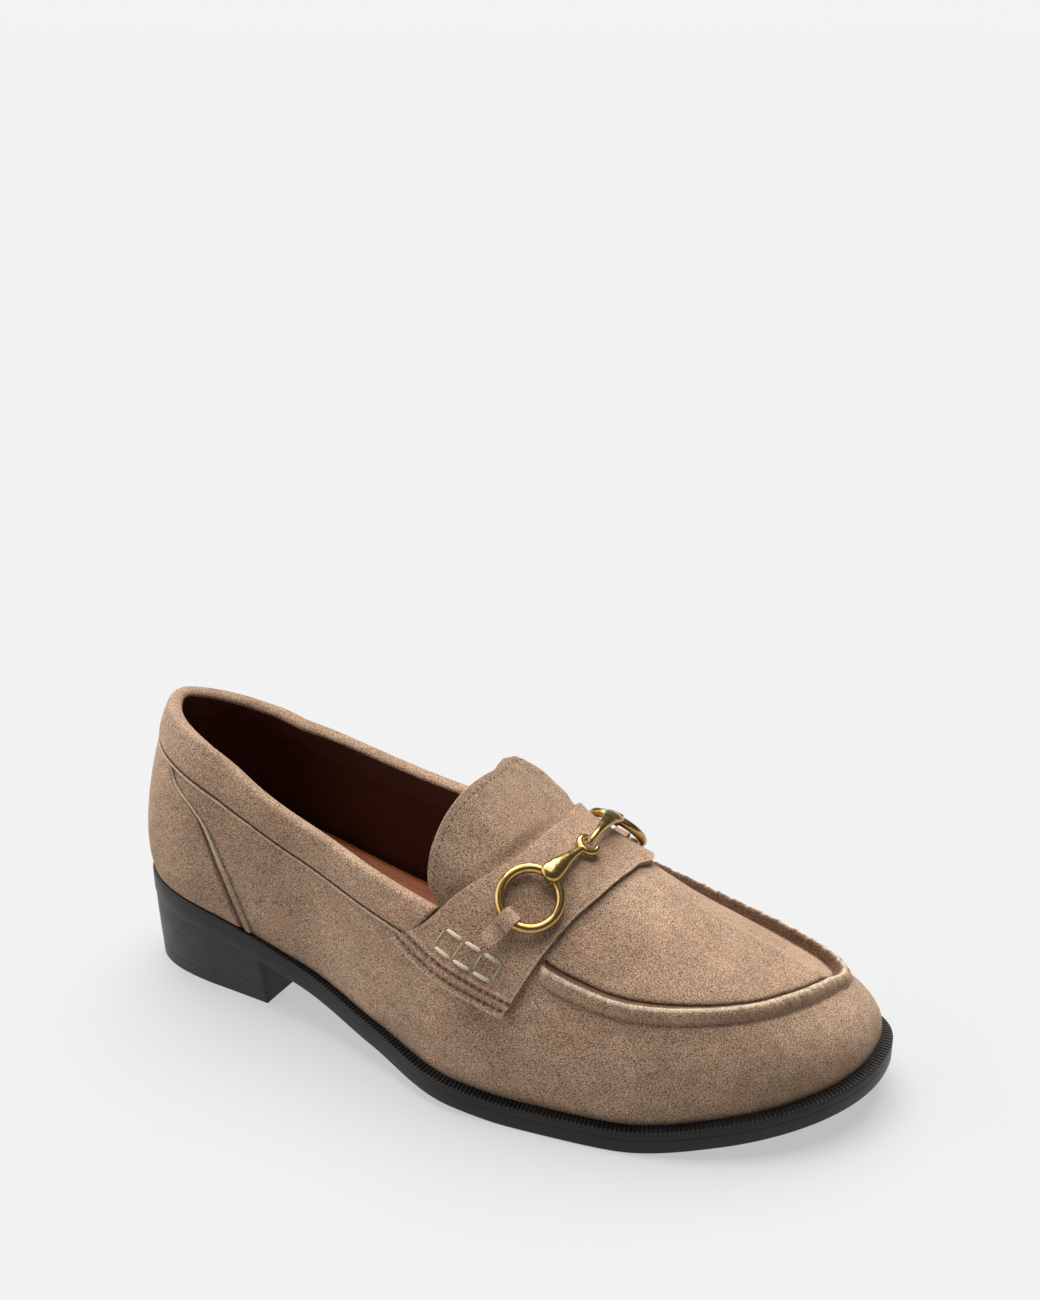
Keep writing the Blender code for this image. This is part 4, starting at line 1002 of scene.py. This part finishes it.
# The cut mask paints the stitch groove brown: painted shade in the groove.
collar_masks = {"raw": 1 - ease(fold_rows, *COLLAR_FRAY), "cut": bell(fold_rows, COLLAR_GROOVE, GROOVE_ROWS)}
collar_sheets = [(collar_face[:facing_row + 1], False), *collar_ends, (collar_face[facing_row:], False),
                 (collar_face[[0, -1]], False)]
collar = make_piece("collar", collar_sheets, plain_suede, "suede", "collar", masks=collar_masks,
                    edge=(lining_leather, 3))
collar_seam = collar_line(np.full(len(COLLAR_ROW), float(COLLAR_GROOVE)), COLLAR_ROW)
make_piece("collar_stitches", stitches(skin(*collar_seam), last_normal(*collar_seam[:3]), **COLLAR_STITCH),
           seam_thread, "thread")


# Tongue
# A rounded flap of suede that comes up behind the strap. Its front lies under the strap and its sides are
# tucked inside the collar; the free edge is cut clean and sewn round with matching thread.

TONGUE_THICK = 1.8
TONGUE_TUCK = -4.4
TONGUE_RISE = table("past rise", (-0.7, 0.8), (-0.32, 1.5), (-0.07, 0.8), (0.08, 0.0), (0.23, -0.3),
                    (0.36, 0.3))
TONGUE_CLIMB = (0.04, 0.32)
TONGUE_DEPTH = 0.22
TONGUE_FRONT = 172.0
TONGUE_PUFF = table("x puff", (127, 1.2), (138, 5.0), (148, 3.0), (156, 3.0))
TONGUE_FREE = 5.0
PUFF_ACROSS = (0.25, 0.475)
PUFF_FOOT = (0.25, 0.6)
TONGUE_ROUND = table("past ahead", (0.2, 0.0), (0.38, 1.6), (0.52, 1.6), (0.75, 0.0))
TONGUE_REAR = table("angle x", (0.40, 142.0), (0.60, 135.5), (0.74, 126.0), (0.90, 126.6),
                    (QUARTER_TURN, 131.7))
STRAP_LOOSE = table("x lift", (146, 2.2), (152, 1.9), (157, 0.7), (161, 0.0))
LOOSE_ANGLE = 1.26
LOOSE_WIDE = 0.17
TONGUE_GRID = (70, 161)
TONGUE_CORNER = 0.4
TONGUE_STITCH = {"pitch": 2.3, "length": 1.7, "wide": 0.5, "high": 0.4}
TONGUE_ROW = np.linspace(-0.8, 0.8, 400)
TONGUE_SEAM = 0.05


def strap_loose(x, angle, side):
    """How far the strap's rear edge stands off the last inside of the crown: a bell round one angle."""
    return read(STRAP_LOOSE, "lift", x) * bell(angle, LOOSE_ANGLE, LOOSE_WIDE) * (side > 0)


def tongue_place(along, across):
    """Station, side, angle and lift on the tongue: rear to front (0 to 1), outer to inner side (-1 to 1)."""
    side = side_of(across)
    middle = 1.0 - np.abs(across)
    foot = edge_angle(station_of(THROAT_FROM), side) - TONGUE_DEPTH
    guess = foot + (QUARTER_TURN - foot) * middle
    x = read(TONGUE_REAR, "x", guess) + read(TONGUE_ROUND, "ahead", (QUARTER_TURN - guess) * side)
    x = x + (TONGUE_FRONT - x) * along
    station = station_of(x)
    low = edge_angle(station, side) - TONGUE_DEPTH
    angle = low + (QUARTER_TURN - low) * middle
    above = angle - upper_edge(station, side)
    lift = TONGUE_TUCK * (1 - ease(above, *TONGUE_CLIMB)) + strap_loose(x, angle, side)
    free = ease(strap_edges(angle, side)[0] - x, 0.0, TONGUE_FREE) * ease(above, *PUFF_FOOT)
    past_crest = (QUARTER_TURN - angle) * side
    puff = read(TONGUE_PUFF, "puff", x) * ease(past_crest, *PUFF_ACROSS)
    return station, side, angle, lift + free * (read(TONGUE_RISE, "rise", past_crest) + puff)


tongue_at = tongue_place(np.linspace(0, 1, TONGUE_GRID[0])[:, None],
                         np.linspace(-1, 1, TONGUE_GRID[1])[None, :])
tongue_face = skin(*tongue_at)
tongue_back = skin(*tongue_at[:3], tongue_at[3] - TONGUE_THICK)
tongue = make_piece("tongue", shell(tongue_face, tongue_back), tongue_suede, "suede", "tongue",
                    edge=(shaded_edge_suede, 2))
take_off_corners(tongue, TONGUE_CORNER)
tongue_row = tongue_place(np.full(len(TONGUE_ROW), TONGUE_SEAM), TONGUE_ROW)
make_piece("tongue_stitches", stitches(skin(*tongue_row), last_normal(*tongue_row[:3]), **TONGUE_STITCH),
           seam_thread, "thread")


# Saddle strap
# A wide suede strap laid over the instep and flared at its lower ends, which are turned under and sewn down
# in a narrow hem. Above each hem a box of long cream stitches fastens it.

STRAP_UNDER = 0.25
STRAP_FACE = 1.9
STRAP_FRAY = (0.35, 0.9)
END_FRAY = (0.003, 0.012)
EDGE_RAW = 0.15
END_RAW = 0.5
HEM_ANGLE = 0.095
HEM_EASE = 0.012
HEM_RISE = 0.85
HEM_ROWS = (0.032, 0.078)
HEM_WIDE = 0.011
HEM_PIT = 0.95
HEM_BETWEEN = 0.4
PIT_SHADE = 0.7
HEM_STITCH = {"pitch": 2.3, "length": 1.7, "wide": 0.6, "high": 0.5}
HEM_LINE = np.linspace(0.03, 0.97, 160)
STRAP_CORNER = 0.3
STRAP_GRID = (95, 341)
CREAM = srgb(214, 205, 184)
CREAM_DARK = srgb(168, 152, 122)


def hem_pits(x, angle):
    """Depth share of the hem's stitch holes: two rows of bell-shaped pits, evenly spaced along the shoe; it
    also sets the painted shade in them.
    """
    hole = 0.5 + 0.5 * np.cos(FULL_TURN * x / HEM_STITCH["pitch"])
    rows = sum(bell(angle, STRAP_END + row, HEM_WIDE) for row in HEM_ROWS)
    return rows * (HEM_BETWEEN + (1 - HEM_BETWEEN) * hole)


def strap_place(along, across):
    """Station, side, angle and lift on the strap: rear to front (0 to 1), outer to inner end (-1 to 1)."""
    side = side_of(across)
    angle = QUARTER_TURN + (STRAP_END - QUARTER_TURN) * np.abs(across)
    rear, front = strap_edges(angle, side)
    x = rear + (front - rear) * along
    hem = 1 - ease(angle, STRAP_END + HEM_ANGLE, STRAP_END + HEM_ANGLE + HEM_EASE)
    lift = STRAP_FACE + strap_loose(x, angle, side)
    return station_of(x), side, angle, lift + HEM_RISE * hem - HEM_PIT * hem_pits(x, angle)


strap_along = (0.5 + 0.5 * np.sin(QUARTER_TURN * np.linspace(-1, 1, STRAP_GRID[0])))[:, None]
strap_at = strap_place(strap_along, np.linspace(-1, 1, STRAP_GRID[1])[None, :])
strap_x = SEAT_X + (BALL_X - SEAT_X) * (strap_at[0] - 1)
strap_rear, strap_front = strap_edges(strap_at[2], strap_at[1])
strap_under = STRAP_UNDER + strap_loose(strap_x, strap_at[2], strap_at[1])
strap_raw = EDGE_RAW * (1 - ease(np.minimum(strap_x - strap_rear, strap_front - strap_x), *STRAP_FRAY))
strap_raw = np.maximum(strap_raw, END_RAW * (1 - ease(strap_at[2] - STRAP_END, *END_FRAY)))
# The cut mask paints the hem's stitch pits brown: painted shade in the pits.
strap = make_piece("saddle_strap", shell(skin(*strap_at), skin(*strap_at[:3], strap_under)), plain_suede,
                   "suede", "saddle_strap", edge=(shaded_edge_suede, 2),
                   masks={"raw": strap_raw, "cut": PIT_SHADE * hem_pits(strap_x, strap_at[2])})
take_off_corners(strap, STRAP_CORNER)


def across_at(angle, side):
    """Place across the strap at an angle on one side."""
    return side * (QUARTER_TURN - angle) / (QUARTER_TURN - STRAP_END)


hem_rows = []
for end in (-1.0, 1.0):
    for row in HEM_ROWS:
        line = strap_place(HEM_LINE, np.full(len(HEM_LINE), across_at(STRAP_END + row, end)))
        hem_rows += stitches(skin(*line), last_normal(*line[:3]), **HEM_STITCH)
make_piece("hem_stitches", hem_rows, seam_thread, "thread")

BOX_ANGLES = (0.485, 0.595)
BOX_X = table("angle rear front", (0.485, 135.0, 154.6), (0.595, 137.9, 156.7))
BOX_STITCHES = 3
BOX_LIFT = 0.15
BOX_FILL = 0.98
BOX_THREAD = {"wide": 1.35, "high": 1.2}
BOX_SAMPLES = 60
LADDER_FILL = 0.95
LADDER_THREAD = {"wide": 0.6, "high": 0.5}
LADDER_SAMPLES = 20
LADDER_CREAM = srgb(194, 180, 150)


def box_line(share, angle, side):
    """Station, side and angle on the box of stitches, from its rear end (0) to its front end (1)."""
    rear, front = read(BOX_X, "rear", angle), read(BOX_X, "front", angle)
    return as_arrays(station_of(rear + (front - rear) * share + STRAP_SKEW * (side > 0)), side, angle)


def box_stitches(line, count, fill, lift, **thread_size):
    """A line on the strap's face sewn with a number of long stitches, each filling a share of its pitch."""
    pitch = run_along(skin(*line, STRAP_FACE))[-1] / count
    return stitches(skin(*line, STRAP_FACE + lift), last_normal(*line), pitch, pitch * fill, **thread_size)


cream_thread = thread("cream thread", CREAM, CREAM_DARK)
cross_thread = thread("yellowed thread", LADDER_CREAM, SEAM_THREAD)
box_rows = []
ladder_rows = []
for side in (-1.0, 1.0):
    for angle in BOX_ANGLES:
        line = box_line(np.linspace(0.0, 1.0, BOX_SAMPLES), angle, side)
        box_rows += box_stitches(line, BOX_STITCHES, BOX_FILL, BOX_LIFT, **BOX_THREAD)
    for step in range(BOX_STITCHES + 1):
        line = box_line(step / BOX_STITCHES, np.linspace(*BOX_ANGLES, LADDER_SAMPLES), side)
        ladder_rows += box_stitches(line, 1, LADDER_FILL, 0.0, **LADDER_THREAD)
make_piece("box_stitches", box_rows, cream_thread, "thread")
make_piece("box_ladder_stitches", ladder_rows, cross_thread, "thread")


# Ring tabs
# A short suede tab comes out of a slit in the strap on each side, folds over the ring's wire and goes back
# under itself, so that it holds the ring.

RING_ANGLE = 0.98
RING_RADIUS = 9.4
RING_WIRE = 1.55
RING_X = 159.0
EYE_X = 165.4
EYE_ANGLE = 1.485
METAL_CLEAR = 0.45
RING_LIFT = STRAP_FACE + METAL_CLEAR + RING_WIRE
TAB_WIDTH = 5.4
TAB_THICK = 0.9
TAB_REACH = 7.0
TAB_INSIDE = 1.0
TAB_GAP = 0.3
TAB_BEND = 0.3
TAB_CORNER = 0.2
TAB_COLUMNS = 15
TAB_ROWS = (8, 21, 6)


def ring_frame(side):
    """Centre of a ring over the strap, and its directions: to the crown, along the shoe, off the strap."""
    x = RING_X + STRAP_SKEW * (side > 0)
    centre = skin(station_of(x), side, RING_ANGLE, RING_LIFT)
    normal = last_normal(station_of(x), side, RING_ANGLE)
    uphill = last_point(station_of(EYE_X), -1.0, EYE_ANGLE) - last_point(station_of(x), side, RING_ANGLE)
    uphill = unit(uphill - (uphill @ normal) * normal)
    return centre, np.stack([uphill, np.cross(normal, uphill), normal])


def tab_strip(side, thick):
    """One face of a tab: flat, up and over the wire in a half round, and flat again inside the ring."""
    centre, axes = ring_frame(side)
    before, bends, after = TAB_ROWS
    bend = RING_WIRE + METAL_CLEAR + thick
    seat = TAB_GAP - RING_WIRE - METAL_CLEAR + thick
    turn = np.linspace(math.pi, 0.0, bends)
    reach = np.concatenate([np.linspace(-bend - TAB_REACH, -bend - TAB_BEND, before), bend * np.cos(turn),
                            np.linspace(bend + TAB_BEND, bend + TAB_INSIDE, after)]) - RING_RADIUS
    over = np.maximum(bend * np.sin(turn), seat)
    rise = np.concatenate([np.full(before, seat), over, np.full(after, seat)])
    wide = np.linspace(-TAB_WIDTH / 2, TAB_WIDTH / 2, TAB_COLUMNS)
    local = np.stack(np.broadcast_arrays(reach[:, None], wide[None, :], rise[:, None]), -1)
    return centre + local @ axes


for side, name in ((-1.0, "ring_tab_lateral"), (1.0, "ring_tab_medial")):
    tab_sheets = shell(tab_strip(side, TAB_THICK), tab_strip(side, 0.0))
    tab = make_piece(name, tab_sheets, plain_suede, "suede", name, edge=(shaded_edge_suede, 2))
    take_off_corners(tab, TAB_CORNER)


# Bit
# Cast brass in the form of a horse's bit, polished and then darkened so that the hollows stay brown; here the
# brown lies in cloudy patches. A ring hangs in each tab; the outer bar ends in an open eye on the crown, and
# the inner bar hooks into it.

EYE_RADIUS = 3.0
EYE_WIRE = 1.2
EYE_OPEN = 0.75
BAR_OVERHANG = 2.4
BAR_SECTIONS = 60
BAR_SIDES = 28
BAR_SAMPLES = 220
RING_GRID = (96, 28)
WRAP_WIRE = 2.2
WRAP_TURN = 0.24
VOXEL = 0.16
BAR_SHAPE = table("along wide high rise", (0.0, 1.4, 0.9, 2.6), (0.04, 2.7, 1.5, 2.7), (0.12, 3.4, 1.8, 2.7),
                  (0.28, 3.15, 1.7, 2.1), (0.55, 2.15, 1.5, 1.0), (0.8, 1.45, 1.3, 0.3),
                  (0.92, 1.35, 1.2, 0.1), (1.0, 1.6, 1.1, 0.0))
STEM_SHAPE = table("along wide high rise", (0.0, 2.4, 0.8, 2.0), (0.05, 3.5, 1.2, 2.2), (0.16, 3.5, 1.3, 2.2),
                   (0.34, 2.7, 1.2, 2.0), (0.55, 1.9, 1.15, 2.0), (0.78, 1.25, 1.1, 2.3),
                   (0.9, 1.1, 1.05, 2.0), (1.0, 0.9, 0.9, 0.5))
BRASS = srgb(190, 158, 98)
BRASS_DARK = srgb(110, 84, 46)
EYE_SAMPLES = 60
EYE_LEAD = 6
WRAP_SAMPLES = 24
BLUNT_POWER = 24
POLISH = (0.5, 4)


def antique_brass():
    """Polished brass with a cloudy brown tone in places and fine polishing marks."""
    material, tree, shader = new_material("antique brass", Metallic=1.0)
    place = object_place(tree)
    clouds = noise(tree, place, size=2.6, detail=3.0, roughness=0.6)
    marks = noise(tree, place, size=0.3)
    vary(tree, shader, Base_Color=mix(tree, remap(tree, clouds, 0.45, 0.8, 0.0, 0.5), BRASS, BRASS_DARK),
         Roughness=remap(tree, clouds, 0.3, 0.7, 0.16, 0.3),
         Normal=bump(tree, marks, depth=0.03, strength=0.25))
    return material


def rod(path, ups, wide, high):
    """A tapered rod along a path, each section an ellipse, drawn together to a point at both ends."""
    ahead = unit(np.gradient(path, axis=0))
    across = unit(np.cross(ahead, ups))
    lift = np.cross(across, ahead)
    turn = FULL_TURN * np.arange(BAR_SIDES) / BAR_SIDES
    ring = (np.cos(turn)[:, None] * (wide[:, None] * across)[:, None, :]
            + np.sin(turn)[:, None] * (high[:, None] * lift)[:, None, :])
    first, last = (np.repeat(path[k][None, None, :], BAR_SIDES, axis=1) for k in (0, -1))
    return np.concatenate([first, path[:, None, :] + ring, last]), True


def over_crest(x, past_crest, surface, *lift):
    """A surface at angles counted from the crest, below zero on the outer side, above it on the inner."""
    return surface(station_of(x), side_of(past_crest), QUARTER_TURN - np.abs(past_crest), *lift)


def bar_path(side, shape, short):
    """Even points of a bar from inside the ring to the eye, with their up directions and section."""
    share = np.linspace(0.0, 1.0, BAR_SECTIONS)
    past_crest = np.linspace(side * (QUARTER_TURN - RING_ANGLE), EYE_ANGLE - QUARTER_TURN, BAR_SAMPLES)
    x = np.linspace(RING_X + STRAP_SKEW * (side > 0), EYE_X, BAR_SAMPLES)
    run = run_along(over_crest(x, past_crest, skin, RING_LIFT))
    start = RING_RADIUS - BAR_OVERHANG
    wanted = start + (run[-1] - short - start) * share
    past_crest = np.interp(wanted, run, past_crest)
    x = np.interp(wanted, run, x)
    path = over_crest(x, past_crest, skin, RING_LIFT + read(shape, "rise", share))
    ups = over_crest(x, past_crest, last_normal)
    return path, ups, read(shape, "wide", share), read(shape, "high", share)


def wire_arc(centre, axes, radius, start, end, count, wire):
    """Round wire bent to a circle's arc in the plane of the first two axes, its ends drawn in bluntly."""
    turn = np.linspace(start, end, count)
    flat = np.stack([radius * np.cos(turn), radius * np.sin(turn), np.zeros(count)], -1)
    along = np.linspace(-1.0, 1.0, count)
    thick = wire * np.clip(1 - np.abs(along) ** BLUNT_POWER, 0.0, 1.0) ** 0.5 + NEARLY
    return rod(centre + flat @ axes, np.tile(axes[2], (count, 1)), thick, thick)


def ring_wrap(side):
    """The end of a bar wrapped round its ring's wire, as a thicker arc of the ring."""
    return wire_arc(*ring_frame(side), RING_RADIUS, -WRAP_TURN, WRAP_TURN, WRAP_SAMPLES, WRAP_WIRE)


def cast(piece):
    """The shells of a casting fused into one skin, and its inner corners filled a little."""
    fuse = piece.modifiers.new("fused", "REMESH")
    fuse.mode = "VOXEL"
    fuse.voxel_size = VOXEL * MM
    fuse.use_smooth_shade = True
    polish = piece.modifiers.new("polished", "SMOOTH")
    polish.factor, polish.iterations = POLISH


brass = antique_brass()
for side, name in ((-1.0, "bit_ring_lateral"), (1.0, "bit_ring_medial")):
    centre, axes = ring_frame(side)
    turn = FULL_TURN * np.arange(RING_GRID[0] + 1)[:, None] / RING_GRID[0]
    round_wire = FULL_TURN * np.arange(RING_GRID[1])[None, :] / RING_GRID[1]
    reach = RING_RADIUS + RING_WIRE * np.cos(round_wire)
    flat = as_arrays(reach * np.cos(turn), reach * np.sin(turn), RING_WIRE * np.sin(round_wire))
    make_piece(name, [(centre + np.stack(flat, -1) @ axes, True)], brass, "brass", name)

eye_normal = last_normal(station_of(EYE_X), -1.0, EYE_ANGLE)
lateral_path = bar_path(-1.0, BAR_SHAPE, EYE_RADIUS)
eye_centre = skin(station_of(EYE_X), -1.0, EYE_ANGLE, RING_LIFT)
eye_along = lateral_path[0][-1] - lateral_path[0][-EYE_LEAD]
eye_along = unit(eye_along - (eye_along @ eye_normal) * eye_normal)
eye_axes = np.stack([eye_along, np.cross(eye_normal, eye_along), eye_normal])
eye_wire = wire_arc(eye_centre, eye_axes, EYE_RADIUS, EYE_OPEN, FULL_TURN - EYE_OPEN, EYE_SAMPLES, EYE_WIRE)
cast(make_piece("bit_bar_lateral", [rod(*lateral_path), eye_wire, ring_wrap(-1.0)], brass, "brass",
                "bit_bar_lateral"))
cast(make_piece("bit_bar_medial", [rod(*bar_path(1.0, STEM_SHAPE, 0.0)), ring_wrap(1.0)], brass, "brass",
                "bit_bar_medial"))


# Studio
# A pale floor, lit a little from below, that runs to a pale wall far away; a large soft key light high over
# the inner side, a weak fill from behind the heel, a softbox that only the metal mirrors, and a dim sky.

FLOOR_REACH = 30.0
WALL_HIGH = 60.0
BACKGROUND = srgb(243, 243, 243)
FLOOR_GREY = srgb(115, 115, 115)
FLOOR_GLOW = 0.5
SKY = 0.1
KEY_POWER = 6.6
KEY_FROM = (-0.22, 0.28, 0.93)
KEY_SOFT = 60
FILL_POWER = 2.1
FILL_FROM = (-0.85, -0.45, 0.28)
FILL_SOFT = 70
BOX_HIGH = 1.2
BOX_REACH = (0.55, 0.4)
BOX_STRENGTH = 2.2
BOX_WARM = (1.0, 0.97, 0.92, 1.0)
FLOOR_SIDES = 64


def stage_mesh(name, points, wrapped, material):
    """A piece of the studio from a grid of points in metres."""
    mesh = bpy.data.meshes.new(name)
    mesh.from_pydata(points.reshape(-1, 3).tolist(), [], grid_quads(*points.shape[:2], wrapped).tolist())
    mesh.materials.append(material)
    piece = bpy.data.objects.new(name, mesh)
    bpy.context.scene.collection.objects.link(piece)
    return piece


def glow(name, colour, strength):
    """A material that only gives off light."""
    return new_material(name, Base_Color=srgb(0, 0, 0), Specular_IOR_Level=0.0, Emission_Color=colour,
                        Emission_Strength=strength)[0]


around_floor = FULL_TURN * np.arange(FLOOR_SIDES) / FLOOR_SIDES
rim = np.stack([np.cos(around_floor), np.sin(around_floor), np.zeros(FLOOR_SIDES)], -1)
floor_paper = new_material("floor paper", Base_Color=FLOOR_GREY, Roughness=0.9, Specular_IOR_Level=0.0,
                           Emission_Color=WHITE, Emission_Strength=FLOOR_GLOW)[0]
stage_mesh("floor", np.array([rim * reach for reach in (NEARLY, 1.0, FLOOR_REACH)]), True, floor_paper)
wall_rows = np.array([rim * FLOOR_REACH + (0, 0, high) for high in (0.0, WALL_HIGH)])
wall = stage_mesh("wall", wall_rows, True, glow("wall paper", BACKGROUND, 1.0))
wall.visible_diffuse = False
wall.visible_glossy = False
wall.visible_shadow = False
box_corners = np.array([[(x * BOX_REACH[0], y * BOX_REACH[1], BOX_HIGH) for x in (-1, 1)] for y in (-1, 1)])
softbox = stage_mesh("softbox", box_corners, False, glow("softbox", BOX_WARM, BOX_STRENGTH))
softbox.visible_camera = False
softbox.visible_diffuse = False
softbox.visible_shadow = False

world = bpy.data.worlds.new("studio sky")
world.use_nodes = True
world.node_tree.nodes["Background"].inputs["Color"].default_value = (SKY, SKY, SKY, 1.0)
bpy.context.scene.world = world
bpy.context.scene.view_settings.view_transform = "Standard"


def add_sun(name, power, source, soft):
    """A distant light from a direction; its width in degrees sets how soft its shadows are."""
    light = bpy.data.lights.new(name, "SUN")
    light.energy = power
    light.angle = math.radians(soft)
    lamp = bpy.data.objects.new(name, light)
    lamp.rotation_mode = "QUATERNION"
    lamp.rotation_quaternion = Vector(source).to_track_quat("Z", "Y")
    bpy.context.scene.collection.objects.link(lamp)


add_sun("key light", KEY_POWER, KEY_FROM, KEY_SOFT)
add_sun("fill light", FILL_POWER, FILL_FROM, FILL_SOFT)


# Camera
# It looks down on the shoe from its outer side, ahead of the middle, with no roll and no shift.

CAMERA_AT = (352.476, -388.917, 319.859)
CAMERA_AZIMUTH = math.radians(28.2914)
CAMERA_ELEVATION = math.radians(22.1910)
PHOTO_HIGH = 1300
FOCAL_PIXELS = 1559.564
SENSOR = 36.0
CLIP = (0.01, 100.0)

eye = bpy.data.cameras.new("camera")
eye.sensor_width = SENSOR
eye.lens = FOCAL_PIXELS * SENSOR / PHOTO_HIGH
eye.clip_start, eye.clip_end = CLIP
camera = bpy.data.objects.new("camera", eye)
camera.location = (np.array(CAMERA_AT) - ORIGIN) * MM
camera.rotation_euler = (QUARTER_TURN - CAMERA_ELEVATION, 0.0, CAMERA_AZIMUTH)
bpy.context.scene.collection.objects.link(camera)
bpy.context.scene.camera = camera
